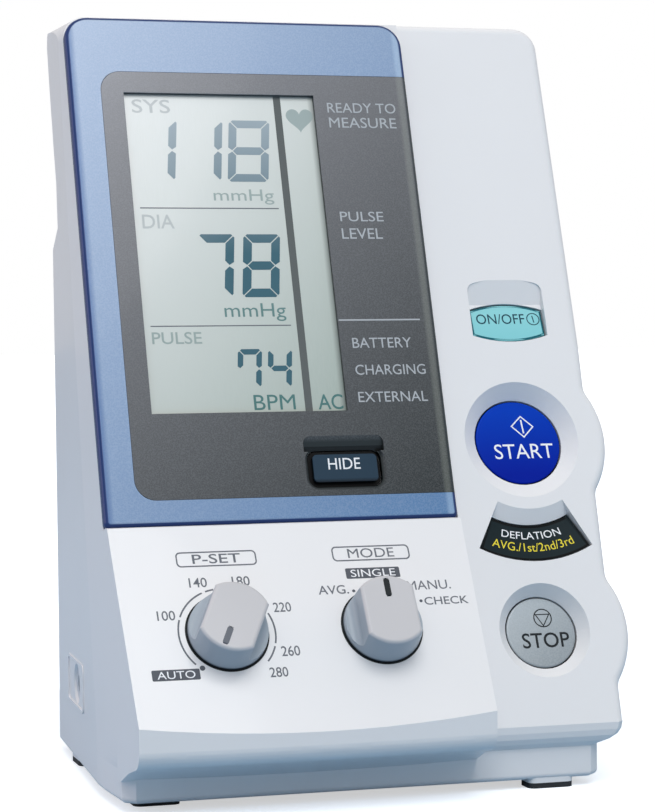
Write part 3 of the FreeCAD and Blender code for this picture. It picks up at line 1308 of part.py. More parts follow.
def valve(x, coil_radius, coil_length):
    """Solenoid valve on the shelf, plugged into the front of the manifold."""
    face, low = MANIFOLD_Y - 7, SHELF_Z + SHELF_THICK
    body = box(x - 8, x + 8, face - 14, face, low, low + 14)
    coil = along_y(coil_radius, x, low + 7, face - 14 - coil_length, face - 13)
    nipple = along_y(PORT_R, x, 46, face - 1, face + 5)
    terminals = []
    for pin in (x - 3, x + 3):
        terminals.append(box(pin - 0.4, pin + 0.4, face - 9, face - 8, low + 13, low + 18))
    return join([body, coil, nipple] + terminals)


def shelf():
    plate = box(SHELF_LEFT, SHELF_RIGHT, 16, 84, SHELF_Z, SHELF_Z + SHELF_THICK)
    plate = plate.makeFillet(3.0, edges_along(plate, V(0, 0, 1)))
    y0 = PUMP_Y + MOTOR_LENGTH + HEAD_LENGTH - 6
    low = SHELF_Z - 1
    cuts = [cylinder(BOARD_SCREW_R + SCREW_FIT, V(x, y, low), V(0, 0, 1), 5) for x, y in SHELF_SCREWS]
    cuts += [cylinder(1.5 + SCREW_FIT, V(x, MANIFOLD_Y, low), V(0, 0, 1), 5) for x in PEG_SPOTS]
    cuts.append(cylinder(HOSE_R + 0.8, V(ELBOW_X, SOCKET_Y, low), V(0, 0, 1), 5))
    cuts.append(cylinder(HOSE_R + 0.8, V(PUMP_X, y0, low), V(0, 0, 1), 5))
    ribs = box(30, 100, 20, 22, SHELF_Z, SHELF_Z + 6)
    return cut(plate.fuse(ribs), cuts)


# ---- electronics ----
def main_board():
    board = box(
        MAIN_BOARD_LEFT, MAIN_BOARD_RIGHT, MAIN_BOARD_Y - BOARD_THICK, MAIN_BOARD_Y,
        MAIN_BOARD_LOW, MAIN_BOARD_HIGH,
    )
    holes = [along_y(BOARD_SCREW_R + SCREW_FIT, x, z, 70, 90) for x, z in MAIN_POSTS]
    return cut(board, holes)


def board_parts():
    """Chips, capacitors and connectors on the main board."""
    face = MAIN_BOARD_Y - BOARD_THICK
    middle, right = CASE_WIDTH / 2 + 4.0, MAIN_BOARD_RIGHT - 33.0
    made = [
        box(middle - 11, middle + 11, face - 2.4, face, 92, 114), box(20, 34, face - 6.0, face, 112, 118),
        box(right, right + 12, face - 1.8, face, 96, 104), box(right, right + 20, face - 7.0, face, 66, 72),
        box(20, 30, face - 1.8, face, 90, 98),
    ]
    made += [along_y(4.0, x, 84, face - 11.0, face) for x in (right + 4.0, right + 14.0)]
    return Part.makeCompound(made)


def pressure_sensor():
    face = MAIN_BOARD_Y - BOARD_THICK
    x = MANIFOLD_PORTS[1]
    body = box(x - 7, x + 7, SENSOR_Y, face, SENSOR_Z - 6, SENSOR_Z + 6)
    port = along_y(PORT_R, x, SENSOR_Z, SENSOR_Y - 7, SENSOR_Y + 1)
    return join([body, port]).cut(along_y(1.0, x, SENSOR_Z, SENSOR_Y - 8, SENSOR_Y + 3))


def buzzer():
    face = MAIN_BOARD_Y - BOARD_THICK
    x, z = CASE_WIDTH / 2 + 8.0, 74.0
    return along_y(6.0, x, z, face - 8.5, face).cut(along_y(1.2, x, z, face - 9, face - 6))


def dc_jack():
    low = SHELF_Z + SHELF_THICK
    body = box(JACK_X - 5.5, JACK_X + 5.5, 71, CASE_BACK - WALL, low, JACK_Z + 5.5)
    bore = along_y(JACK_BORE, JACK_X, JACK_Z, 76, 90)
    pin = along_y(JACK_PIN, JACK_X, JACK_Z, 75, CASE_BACK - WALL - 1)
    return body.cut(bore).fuse(pin).removeSplitter()


def rubber_feet():
    feet = []
    for x0, x1, y0, y1 in FOOT_PADS:
        feet.append(rounded_slab(x0, x1, y0, y1, 0, FOOT_HEIGHT, 2.0))
    return Part.makeCompound(feet)


def rating_plate():
    plate = box(PLATE_EDGE, CASE_WIDTH - PLATE_EDGE, CASE_BACK, CASE_BACK + PLATE_THICK, 84, 124)
    return plate.makeFillet(2.0, edges_along(plate, V(0, 1, 0)))


def nodes():
    outer = case_volume()
    shell = outer.cut(case_volume(WALL))
    return {
        "front_housing": front_housing(outer, shell),
        "rear_housing": rear_housing(outer, shell),
        "display_bezel": display_bezel(),
        "display_window": display_window(),
        "lcd_glass": lcd_glass(),
        "lcd_backlight": lcd_backlight(),
        "lcd_holder": lcd_holder(),
        "display_board": display_board(),
        "start_key": round_key(START, START_R),
        "stop_key": round_key(STOP, STOP_R),
        "on_off_key": on_off_key(),
        "deflation_key": deflation_key(),
        "hide_key": hide_key(),
        "key_switches": key_switches(),
        "hide_switch": hide_switch(),
        "key_board": key_board(),
        "pset_knob": knob(PSET_X, PSET_POINTER),
        "mode_knob": knob(MODE_X, 0.0),
        "pset_shaft": knob_shaft(PSET_X, PSET_POINTER),
        "mode_shaft": knob_shaft(MODE_X, 0.0),
        "pset_switch": rotary_switch(PSET_X),
        "mode_switch": rotary_switch(MODE_X),
        "control_board": control_board(),
        "case_screws": case_screws(),
        "board_screws": board_screws(),
        "main_board_screws": main_board_screws(),
        "shelf_screws": shelf_screws(),
        "cover_screws": cover_screws(),
        "battery_cells": battery_cells(),
        "battery_box": battery_box(),
        "battery_cover": battery_cover(),
        "battery_pad": battery_pad(),
        "pump_motor": pump_motor(),
        "pump_head": pump_head(),
        "pump_crank": pump_crank(),
        "pump_cradle": pump_cradle(),
        "pump_strap": pump_strap(),
        "strap_screws": strap_screws(),
        "air_socket": air_socket(),
        "socket_hose": socket_hose(),
        "pump_hose": pump_hose(),
        "sensor_hose": sensor_hose(),
        "manifold": manifold(),
        "control_valve": valve(VALVE_SPOTS[0], 6.0, 10.0),
        "exhaust_valve": valve(VALVE_SPOTS[1], 5.0, 6.0),
        "shelf": shelf(),
        "main_board": main_board(),
        "board_parts": board_parts(),
        "pressure_sensor": pressure_sensor(),
        "buzzer": buzzer(),
        "dc_jack": dc_jack(),
        "rubber_feet": rubber_feet(),
        "rating_plate": rating_plate(),
    }


def write_part():
    os.makedirs("parts", exist_ok=True)
    made = nodes()
    bounds = Part.makeCompound(list(made.values())).optimalBoundingBox(False, False)
    shift = V(-(bounds.XMin + bounds.XMax) / 2, -(bounds.YMin + bounds.YMax) / 2, -bounds.ZMin)
    for name, shape in made.items():
        shape.translate(shift)
        shape.exportStep("parts/" + name + ".step")


write_part()
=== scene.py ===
"""Looks of a desktop blood pressure monitor: finishes, printed legends, display and studio.

Metres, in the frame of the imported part. The legends are placed in millimetres on leaning faces:
the display panel, the key strip and the control module, with X to the right, Y up the slope from
the panel's foot and Z outwards. START, STOP and ON/OFF have faces of their own, with the origin
in the middle of the key.
"""
import json
import math

import bpy
from mathutils import Matrix, Vector
from mathutils.bvhtree import BVHTree


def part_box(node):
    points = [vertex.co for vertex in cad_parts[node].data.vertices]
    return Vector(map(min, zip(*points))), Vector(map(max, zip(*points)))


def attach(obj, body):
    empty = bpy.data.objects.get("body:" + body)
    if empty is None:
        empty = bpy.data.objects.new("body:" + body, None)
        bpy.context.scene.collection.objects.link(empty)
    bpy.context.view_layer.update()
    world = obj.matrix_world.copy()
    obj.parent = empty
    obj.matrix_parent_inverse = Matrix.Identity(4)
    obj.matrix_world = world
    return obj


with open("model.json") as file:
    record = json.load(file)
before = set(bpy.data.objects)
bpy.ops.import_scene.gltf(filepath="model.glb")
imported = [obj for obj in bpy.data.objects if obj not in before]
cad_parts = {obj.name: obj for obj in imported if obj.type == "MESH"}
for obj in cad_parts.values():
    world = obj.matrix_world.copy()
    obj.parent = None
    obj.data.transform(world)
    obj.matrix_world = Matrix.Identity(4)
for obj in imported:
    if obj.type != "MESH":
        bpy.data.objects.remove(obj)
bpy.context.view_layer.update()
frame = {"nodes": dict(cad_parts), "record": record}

MM = 0.001
NODES = frame["nodes"]

# ---- the case in the part's frame, in millimetres: its left wall and the panel's foot line ----
CASE_BACK = 88.3            # back of the rating plate behind the panel's foot
PANEL_FOOT = 69.8           # height of the panel's foot
CASE_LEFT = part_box("display_bezel")[0].x / MM
PANEL_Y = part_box("rating_plate")[1].y / MM - CASE_BACK

# ---- how prints sit, in millimetres ----
PRINT_RISE = 0.035          # ink above the surface
PRINT_SINK = 0.03           # and its underside below it
REACH = 14.0                # how far above a face the search for its surface starts

# ---- camera: millimetres and degrees ----
# from the left wall, the panel's foot line and the table
CAMERA_FROM = (-137.12, -643.43, 125.48)
CAMERA_YAW = 16.92          # turned to the right
CAMERA_DOWN = 2.21
CAMERA_ROLL = -0.370
PICTURE_HEIGHT = 812        # pixels
FOCAL_PIXELS = 2616.0
SENSOR = 36.0

# ---- leaning faces: degrees from upright, and millimetres behind the panel's foot ----
DISPLAY_TILT = 19.45
STRIP_TILT = 20.3
STRIP_BACK = 1.2
CONTROL_TILT = 34.0
CONTROL_BACK = -2.0
ROUND_KEY_TILT = 25.6       # START and STOP
ON_OFF_TILT = 28.3
ROUND_KEY_DEPTH = 3.0       # middle of the key's face under the strip
ON_OFF_DEPTH = 1.5
START_AT = (115.3, 20.9)    # on the strip
STOP_AT = (114.6, -31.3)
ON_OFF_AT = (116.1, 54.35)

# ---- ways on a face ----
RIGHT, LEFT = (1, 0, 0), (-1, 0, 0)
UP, DOWN = (0, 1, 0), (0, -1, 0)
OUT, IN = (0, 0, 1), (0, 0, -1)


def leaning(x, y, z, tilt):
    """Matrix of a face that leans back by tilt degrees, with its origin at a place in the case."""
    t = math.radians(tilt)
    axes = Matrix(((1, 0, 0), (0, math.sin(t), -math.cos(t)), (0, math.cos(t), math.sin(t))))
    origin = Vector((CASE_LEFT + x, PANEL_Y + y, z)) * MM
    return Matrix.Translation(origin) @ axes.to_4x4() @ Matrix.Scale(MM, 4)


DISPLAY = leaning(0, 0, PANEL_FOOT, DISPLAY_TILT)
STRIP = leaning(0, STRIP_BACK, PANEL_FOOT, STRIP_TILT)
CONTROL = leaning(0, CONTROL_BACK, PANEL_FOOT, CONTROL_TILT)


def on_strip(x, s, depth, tilt):
    """A key's own face: centred below a point of the strip, leaning by its own angle."""
    t = math.radians(STRIP_TILT)
    y = STRIP_BACK + s * math.sin(t) + depth * math.cos(t)
    z = PANEL_FOOT + s * math.cos(t) - depth * math.sin(t)
    return leaning(x, y, z, tilt)


START = on_strip(*START_AT, ROUND_KEY_DEPTH, ROUND_KEY_TILT)
STOP = on_strip(*STOP_AT, ROUND_KEY_DEPTH, ROUND_KEY_TILT)
ON_OFF = on_strip(*ON_OFF_AT, ON_OFF_DEPTH, ON_OFF_TILT)


# ---- materials: noise in cycles per metre, bumps in metres, the rest in millimetres ----
COAT_ROUGHNESS = 0.06
MARKS_GRAIN, MARKS_GLOSS, SKIN_GRAIN = 24.0, 60.0, 2600.0
SKIN_BUMP = 0.04
MIX_VALUES, MIX_VALUE_OUT = (2, 3), 0       # sockets of a Mix node for plain values
MIX_COLOURS, MIX_COLOUR_OUT = (6, 7), 2     # and for colours

# high, low, left and right ends of the shade on a face
PANEL = (141.0, 0.0, 0.0, 94.0)
WINDOW = (125.0, 7.0, 8.5, 88.0)
GLASS = (119.0, 30.0, 14.6, 67.2)
ROUND_KEY = (9.0, -9.0, -9.0, 9.0)


def linear(red, green, blue):
    """Linear colour of three screen values from 0 to 255."""
    out = []
    for value in (red, green, blue):
        c = value / 255
        out.append(c / 12.92 if c <= 0.04045 else ((c + 0.055) / 1.055) ** 2.4)
    return (*out, 1.0)


class Finish:
    """A material with its Principled shader and short names for the nodes that feed it."""

    def __init__(self, name, roughness, metallic=0.0, coat=0.0, gleam=0.5):
        self.material = bpy.data.materials.new(name)
        self.material.use_nodes = True
        self.tree = self.material.node_tree
        self.shader = self.tree.nodes["Principled BSDF"]
        self.shader.inputs["Roughness"].default_value = roughness
        self.shader.inputs["Metallic"].default_value = metallic
        self.shader.inputs["Coat Weight"].default_value = coat
        self.shader.inputs["Coat Roughness"].default_value = COAT_ROUGHNESS
        self.shader.inputs["Specular IOR Level"].default_value = gleam
        self.place = self.node("ShaderNodeTexCoord").outputs["Object"]

    def node(self, kind, **settings):
        """New node with its settings."""
        made = self.tree.nodes.new(kind)
        for key, value in settings.items():
            setattr(made, key, value)
        return made

    def link(self, source, target):
        self.tree.links.new(source, target)

    def noise(self, scale, detail=3.0, stretch=None):
        """Noise from 0 to 1 over the surface, scaled along the part's axes by stretch."""
        place = self.place
        if stretch:
            mapping = self.node("ShaderNodeMapping")
            mapping.inputs["Scale"].default_value = stretch
            self.link(place, mapping.inputs["Vector"])
            place = mapping.outputs["Vector"]
        made = self.node("ShaderNodeTexNoise")
        made.inputs["Scale"].default_value = scale
        made.inputs["Detail"].default_value = detail
        self.link(place, made.inputs["Vector"])
        return made.outputs["Fac"]

    def span(self, source, low, high, to_low, to_high):
        """Carries low..high of a value over to to_low..to_high."""
        made = self.node("ShaderNodeMapRange")
        self.link(source, made.inputs["Value"])
        ends = {"From Min": low, "From Max": high, "To Min": to_low, "To Max": to_high}
        for key, value in ends.items():
            made.inputs[key].default_value = value
        return made.outputs["Result"]

    def mix(self, factor, first, second):
        """Colour between two others, each a colour or a socket."""
        made = self.node("ShaderNodeMix", data_type="RGBA")
        self.link(factor, made.inputs[0])
        for number, value in zip(MIX_COLOURS, (first, second)):
            if isinstance(value, tuple):
                made.inputs[number].default_value = value
            else:
                self.link(value, made.inputs[number])
        return made.outputs[MIX_COLOUR_OUT]

    def along(self, face, axis, low, high):
        """0 to 1 from one distance to another along one of the ways on a face."""
        way = Vector(axis)
        away = face.to_3x3() @ way / MM
        made = self.node("ShaderNodeVectorMath", operation="DOT_PRODUCT")
        self.link(self.place, made.inputs[0])
        made.inputs[1].default_value = away
        base = (face @ (way * low)).dot(away)
        return self.span(made.outputs["Value"], base, base + (high - low) * MM, 0.0, 1.0)

    def depth(self, face, low, high):
        """0 to 1 from one depth under a face to a greater one."""
        return self.along(face, IN, low, high)

    def within(self, face, axis, low, high, soft):
        """1 between two distances along a way, fading to 0 over a soft margin inside them."""
        off = self.node("ShaderNodeMath", operation="SUBTRACT")
        self.link(self.along(face, axis, low, high), off.inputs[0])
        off.inputs[1].default_value = 0.5
        size = self.node("ShaderNodeMath", operation="ABSOLUTE")
        self.link(off.outputs[0], size.inputs[0])
        return self.span(size.outputs[0], 0.5 - soft / (high - low), 0.5, 1.0, 0.0)

    def both(self, first, second):
        """1 where two masks are."""
        made = self.node("ShaderNodeMath", operation="MULTIPLY")
        self.link(first, made.inputs[0])
        self.link(second, made.inputs[1])
        return made.outputs[0]

    def larger(self, first, second):
        """1 where either of two masks is."""
        made = self.node("ShaderNodeMath", operation="MAXIMUM")
        self.link(first, made.inputs[0])
        self.link(second, made.inputs[1])
        return made.outputs[0]

    def partly(self, source, share):
        """A mask at less than full strength."""
        made = self.node("ShaderNodeMath", operation="MULTIPLY")
        self.link(source, made.inputs[0])
        made.inputs[1].default_value = share
        return made.outputs[0]

    def blend(self, first, second, share):
        """Weighted mean of two values."""
        made = self.node("ShaderNodeMix")
        made.inputs[0].default_value = share
        for number, value in zip(MIX_VALUES, (first, second)):
            self.link(value, made.inputs[number])
        return made.outputs[MIX_VALUE_OUT]

    def fall(self, face, high, low, left, right, share):
        """0 at a face's upper left to 1 at its lower right."""
        down = self.along(face, DOWN, -high, -low)
        return self.blend(down, self.along(face, RIGHT, left, right), share)

    def sooner(self, source, power):
        """Raises a value from 0 to 1 to a power, which bends a gradient."""
        made = self.node("ShaderNodeMath", operation="POWER")
        self.link(source, made.inputs[0])
        made.inputs[1].default_value = power
        return made.outputs[0]

    def colour(self, socket):
        """Paints the shader with a socket's colour."""
        self.link(socket, self.shader.inputs["Base Color"])

    def rough(self, socket, low, high):
        """Lets a noise vary the roughness from low to high."""
        self.link(self.span(socket, 0.3, 0.7, low, high), self.shader.inputs["Roughness"])

    def bump(self, socket, strength, distance):
        """Dents the surface by a noise."""
        made = self.node("ShaderNodeBump")
        made.inputs["Strength"].default_value = strength
        made.inputs["Distance"].default_value = distance
        self.link(socket, made.inputs["Height"])
        self.link(made.outputs["Normal"], self.shader.inputs["Normal"])


def skin(finish, tone, colour, roughness, spread=2, strength=SKIN_BUMP):
    """Moulded plastic: faint flow marks in its colour, an uneven gloss, an orange-peel skin."""
    darker = tuple(max(c - spread, 0) for c in colour)
    lighter = tuple(min(c + spread, 255) for c in colour)
    marks = finish.span(finish.noise(MARKS_GRAIN, 1.0), 0.3, 0.7, 0.0, 1.0)
    cloud = finish.mix(marks, linear(*darker), linear(*lighter))
    finish.colour(tone(cloud) if tone else cloud)
    finish.rough(finish.noise(MARKS_GLOSS, 2.0), roughness * 0.95, roughness * 1.08)
    finish.bump(finish.noise(SKIN_GRAIN, 2.0), strength, 0.00004)
    return finish.material


def moulded(name, colour, roughness, spread=2, coat=0.0, gleam=0.4):
    """Moulded plastic of one colour."""
    finish = Finish(name, roughness, coat=coat, gleam=gleam)
    return skin(finish, None, colour, roughness, spread)


def key_cap(name, upper, lower, side, face, reach, roughness=0.34, coat=0.0, gleam=0.2):
    """Moulded key, a little darker down its face, with side walls painted darker as shade in the
    gap round it.
    """
    finish = Finish(name, roughness, coat=coat, gleam=gleam)

    def tone(cloud):
        down = finish.mix(finish.along(face, DOWN, -9.0, 9.0), cloud, linear(*lower))
        # painted shade: the side walls darkened as the gap round the key
        return finish.mix(finish.depth(face, *reach), down, linear(*side))

    return skin(finish, tone, upper, roughness)


def flecked(name, bright, dark, place, fleck, roughness, metallic, gleam=0.3, size=2400.0):
    """Metallic lacquer with fine flakes; place gives 0 where bright and 1 where dark."""
    finish = Finish(name, roughness, metallic=metallic, coat=0.1, gleam=gleam)
    base = finish.mix(place(finish), linear(*bright), linear(*dark))
    flakes = finish.node("ShaderNodeTexVoronoi")
    flakes.inputs["Scale"].default_value = size
    finish.link(finish.place, flakes.inputs["Vector"])
    grey = finish.span(flakes.outputs["Distance"], 0.2, 0.75, 0.0, fleck)
    finish.colour(finish.mix(grey, base, linear(235, 240, 245)))
    finish.rough(finish.noise(1400.0), roughness * 0.8, roughness * 1.25)
    finish.bump(finish.noise(1900.0, 4.0), 0.12, 0.00003)
    return finish


def tinted(finish, mask, colour):
    """Covers what is painted so far with another colour where the mask is 1."""
    painted = finish.shader.inputs["Base Color"].links[0].from_socket
    finish.colour(finish.mix(mask, painted, linear(*colour)))


def metal(name, colour, roughness, stretch):
    """Drawn or turned metal, with fine scratches along one way."""
    finish = Finish(name, roughness, metallic=1.0)
    scratches = finish.noise(900.0, 6.0, stretch)
    dull = tuple(int(c * 0.82) for c in colour)
    finish.colour(finish.mix(scratches, linear(*dull), linear(*colour)))
    finish.rough(scratches, roughness * 0.75, roughness * 1.35)
    finish.bump(scratches, 0.12, 0.00003)
    return finish.material


def rubbery(name, colour, roughness, grain):
    """Rubber, foam or shrink wrap: matt, with a coarse skin and paler rubbed patches."""
    finish = Finish(name, roughness)
    pale = tuple(min(int(c * 1.25) + 8, 255) for c in colour)
    worn = finish.span(finish.noise(160.0, 6.0), 0.5, 0.75, 0.0, 0.6)
    finish.colour(finish.mix(worn, linear(*colour), linear(*pale)))
    finish.bump(finish.noise(grain, 5.0), 0.35, 0.0001)
    return finish.material


def circuit(name):
    """Green solder resist over straight copper tracks."""
    finish = Finish(name, 0.35, coat=0.3)
    bricks = finish.node("ShaderNodeTexBrick")
    bricks.inputs["Scale"].default_value = 220.0
    bricks.inputs["Mortar Size"].default_value = 0.05
    finish.link(finish.place, bricks.inputs["Vector"])
    bricks.inputs["Color1"].default_value = linear(22, 92, 52)
    bricks.inputs["Color2"].default_value = linear(26, 104, 58)
    bricks.inputs["Mortar"].default_value = linear(62, 142, 84)
    finish.colour(bricks.outputs["Color"])
    finish.bump(bricks.outputs["Fac"], 0.1, 0.00005)
    return finish.material


def printed(name, colour, gleam=0.2):
    """Screen-printed ink: a faint mottle where the mesh let less of it through."""
    finish = Finish(name, 0.5, gleam=gleam)
    thin = finish.span(finish.noise(3200.0, 2.0), 0.45, 0.8, 0.0, 0.25)
    paler = tuple(min(c + 14, 255) for c in colour)
    finish.colour(finish.mix(thin, linear(*colour), linear(*paler)))
    finish.bump(finish.noise(4200.0, 2.0), 0.08, 0.00002)
    return finish.material


def crystal(name, low, high, start=30.0, end=118.0):
    """Liquid crystal segment: paler up the display and to its left."""
    finish = Finish(name, 0.45, gleam=0.1)
    leftward = finish.along(DISPLAY, LEFT, -40.0, -10.0)
    rise = finish.blend(finish.along(DISPLAY, UP, start, end), leftward, 0.3)
    finish.colour(finish.mix(rise, linear(*low), linear(*high)))
    finish.bump(finish.noise(2600.0, 2.0), 0.05, 0.00002)
    return finish.material


def glass_face(name):
    """Display glass: pale grey-green, fine upright electrodes, a painted shadow along its top and
    right.
    """
    finish = Finish(name, 0.3, coat=0.2, gleam=0.3)
    fall = finish.fall(DISPLAY, *GLASS, 0.4)
    tone = finish.mix(fall, linear(237, 238, 236), linear(165, 178, 170))
    weave = finish.noise(700.0, 2.0, (6.0, 0.4, 0.4))
    finish.colour(finish.mix(finish.span(weave, 0.35, 0.7, 0.0, 0.1), tone, linear(206, 212, 206)))
    # painted shadow: the window's edge shades the top of the glass
    tinted(finish, finish.partly(finish.along(DISPLAY, UP, 118.0, 119.6), 0.75), (120, 124, 124))
    # painted shadow: a soft dark band along the glass's right edge
    tinted(finish, finish.partly(finish.along(DISPLAY, RIGHT, 65.6, 67.4), 0.75), (96, 106, 104))
    finish.bump(weave, 0.04, 0.00002)
    return finish.material


def panel_paint():
    """Light-blue metallic panel: painted shade in deep blue by its left side and down its rolled
    edge, a pale painted highlight by its right side, black in the pocket of the HIDE key."""
    finish = flecked(
        "panel_blue", (158, 175, 200), (74, 119, 166),
        lambda f: f.fall(DISPLAY, *PANEL, 0.46), fleck=0.08, roughness=0.36, metallic=0.1,
    )
    # painted shade: a deep blue band where the rolled left edge turns away from the light
    tinted(finish, finish.partly(finish.along(DISPLAY, LEFT, -2.6, -1.1), 0.75), (54, 96, 152))
    # painted highlight: a pale band on the rolled right edge
    painted_highlight_band = finish.within(DISPLAY, RIGHT, 91.2, 94.0, 0.9)
    tinted(finish, finish.partly(painted_highlight_band, 0.3), (190, 214, 236))
    # painted shade: navy down the rolled edge
    tinted(finish, finish.depth(DISPLAY, 0.004, 0.07), (22, 50, 104))
    across = finish.within(DISPLAY, RIGHT, 52.9, 77.1, 0.2)
    pocket = finish.both(across, finish.within(DISPLAY, UP, 7.2, 25.2, 0.2))
    tinted(finish, pocket, (18, 21, 22))
    return finish.material


def window_paint():
    """Dark flecked window border: brightest at its upper left, with a painted highlight and a
    painted dark line of shade by its rolled right side."""
    finish = flecked(
        "window_grey", (150, 150, 155), (32, 39, 41),
        lambda f: f.sooner(f.fall(DISPLAY, *WINDOW, 0.35), 0.58),
        fleck=0.05, roughness=0.4, metallic=0.05, gleam=0.2, size=3000.0,
    )
    # painted highlight: a pale band on the rolled right edge
    painted_highlight_band = finish.within(DISPLAY, RIGHT, 91.0, 93.6, 0.9)
    tinted(finish, finish.partly(painted_highlight_band, 0.12), (200, 206, 192))
    # painted shade: a dark line at the far right of the rolled edge
    tinted(finish, finish.partly(finish.along(DISPLAY, RIGHT, 93.2, 93.6), 0.75), (44, 53, 56))
    tinted(finish, finish.depth(DISPLAY, 0.25, 0.7), (50, 55, 56))
    return finish.material


def hide_paint():
    """Slate key with a black collar round its cap."""
    finish = Finish("key_slate", 0.4, gleam=0.1)

    def tone(cloud):
        face = finish.mix(finish.along(DISPLAY, UP, 10.4, 11.6), linear(10, 14, 20), cloud)
        return finish.mix(finish.depth(DISPLAY, 0.8, 1.3), face, linear(3, 4, 6))

    return skin(finish, tone, (42, 62, 78), 0.4)


def stop_paint():
    """Silver lacquered key with side walls painted dark as shade in the gap round it."""
    finish = flecked(
        "key_grey", (178, 186, 191), (132, 141, 147),
        lambda f: f.fall(STOP, *ROUND_KEY, 0.4), fleck=0.08, roughness=0.4, metallic=0.1,
    )
    # painted shade: the side walls darkened as the gap round the key
    tinted(finish, finish.depth(STOP, 0.15, 0.45), (34, 40, 48))
    return finish.material


def knob_paint():
    """Warm light-grey knob with painted shade: cooler and darker down its wall, dark where it
    meets the module.
    """
    finish = Finish("knob_grey", 0.36, coat=0.05, gleam=0.3)

    def tone(cloud):
        # painted shade: the knob's wall cooler and darker than its top
        shaded_wall = finish.mix(finish.along(CONTROL, OUT, 9.2, 8.6), cloud, linear(160, 170, 180))
        # painted shade at the foot, where the knob meets the module
        return finish.mix(finish.along(CONTROL, OUT, 1.2, 0.5), shaded_wall, linear(60, 68, 78))

    return skin(finish, tone, (196, 195, 198), 0.36, strength=0.06)


MATERIALS = {
    "housing_white": moulded("housing_white", (231, 231, 233), 0.3, spread=1, coat=0.2),
    "panel_blue": panel_paint(),
    "window_grey": window_paint(),
    "lcd": glass_face("lcd"),
    "backlight": moulded("backlight", (214, 226, 214), 0.5),
    "holder_white": moulded("holder_white", (222, 224, 226), 0.5),
    "pcb": circuit("pcb"),
    "key_blue": key_cap(
        "key_blue", (0, 60, 182), (0, 30, 152), (0, 8, 44), START, (0.15, 0.45), gleam=0.05,
    ),
    "key_grey": stop_paint(),
    "key_turquoise": key_cap(
        "key_turquoise", (146, 214, 218), (122, 200, 208), (8, 104, 118), ON_OFF, (0.08, 0.4),
        roughness=0.28, coat=0.2, gleam=0.3,
    ),
    "key_charcoal": key_cap(
        "key_charcoal", (28, 40, 44), (28, 40, 44), (4, 6, 8), STRIP, (2.3, 2.9), gleam=0.08,
    ),
    "key_slate": hide_paint(),
    "switch_black": moulded("switch_black", (36, 36, 38), 0.5),
    "knob_grey": knob_paint(),
    "shaft_plastic": moulded("shaft_plastic", (196, 192, 184), 0.45),
    "screw_steel": metal("screw_steel", (186, 188, 192), 0.3, (1.0, 1.0, 12.0)),
    "cell_wrap": rubbery("cell_wrap", (46, 92, 150), 0.4, 1600.0),
    "foam": rubbery("foam", (70, 70, 74), 0.95, 2200.0),
    "motor_steel": metal("motor_steel", (172, 174, 178), 0.34, (1.0, 14.0, 1.0)),
    "socket_grey": moulded("socket_grey", (196, 202, 210), 0.4),
    "hose": rubbery("hose", (214, 214, 208), 0.5, 900.0),
    "valve_black": moulded("valve_black", (40, 42, 46), 0.45),
    "chip_black": moulded("chip_black", (34, 34, 36), 0.5),
    "sensor_grey": moulded("sensor_grey", (150, 152, 154), 0.45),
    "foot_rubber": rubbery("foot_rubber", (34, 36, 40), 0.75, 1400.0),
    "plate_silver": metal("plate_silver", (196, 198, 202), 0.36, (14.0, 1.0, 1.0)),
}

INK = {
    "silver": printed("ink_silver", (176, 181, 186)),
    "grey": printed("ink_grey", (104, 108, 116)),
    "dark": printed("ink_dark", (84, 88, 96)),
    "white": printed("ink_white", (238, 240, 244)),
    "black": printed("ink_black", (22, 28, 32)),
    "yellow": printed("ink_yellow", (232, 214, 60)),
    "edge": printed("ink_edge", (3, 6, 8), gleam=0.1),
    "teal": printed("ink_teal", (8, 98, 112)),
    "deep": printed("ink_deep", (8, 60, 76)),
    "bar": printed("ink_bar", (92, 97, 97)),
    "digit": crystal("crystal_digit", (66, 104, 117), (186, 196, 203), 74.0, 112.0),
    "middling": crystal("crystal_middling", (82, 124, 122), (160, 178, 178)),
    "pale": crystal("crystal_pale", (152, 168, 163), (170, 182, 182)),
    "faint": crystal("crystal_faint", (172, 182, 180), (208, 210, 210)),
}


def dress():
    """Gives each node of the frame the finish of its material slot."""
    for part in frame["record"]["subparts"]:
        piece = NODES[part["node"]]
        piece.data.materials.clear()
        piece.data.materials.append(MATERIALS[part["material_slot"]])


# ---- flat shapes: each is a list of closed outlines, in millimetres on its face ----
def rectangle(x0, y0, x1, y1, radius=0.0, steps=6):
    """Rectangle between two corners, its own corners rounded where a radius is given."""
    if not radius:
        return [(x0, y0), (x1, y0), (x1, y1), (x0, y1)]
    points = []
    for cx, cy, first in (
        (x1 - radius, y1 - radius, 0), (x0 + radius, y1 - radius, 90),
        (x0 + radius, y0 + radius, 180), (x1 - radius, y0 + radius, 270),
    ):
        for i in range(steps + 1):
            a = math.radians(first + 90 * i / steps)
            points.append((cx + radius * math.cos(a), cy + radius * math.sin(a)))
    return points


def circle(x, y, radius, steps=48):
    """Circle as one closed outline."""
    turn = 2 * math.pi / steps
    angles = [turn * i for i in range(steps)]
    return [(x + radius * math.cos(a), y + radius * math.sin(a)) for a in angles]


def band(cx, cy, radius, width, start, end, steps=24):
    """Arc of a line: start and end are degrees clockwise from straight up."""
    points = []
    outer, inner = radius + width / 2, radius - width / 2
    for r, order in ((outer, range(steps + 1)), (inner, range(steps, -1, -1))):
        for i in order:
            a = math.radians(start + (end - start) * i / steps)
            points.append((cx + r * math.sin(a), cy + r * math.cos(a)))
    return points


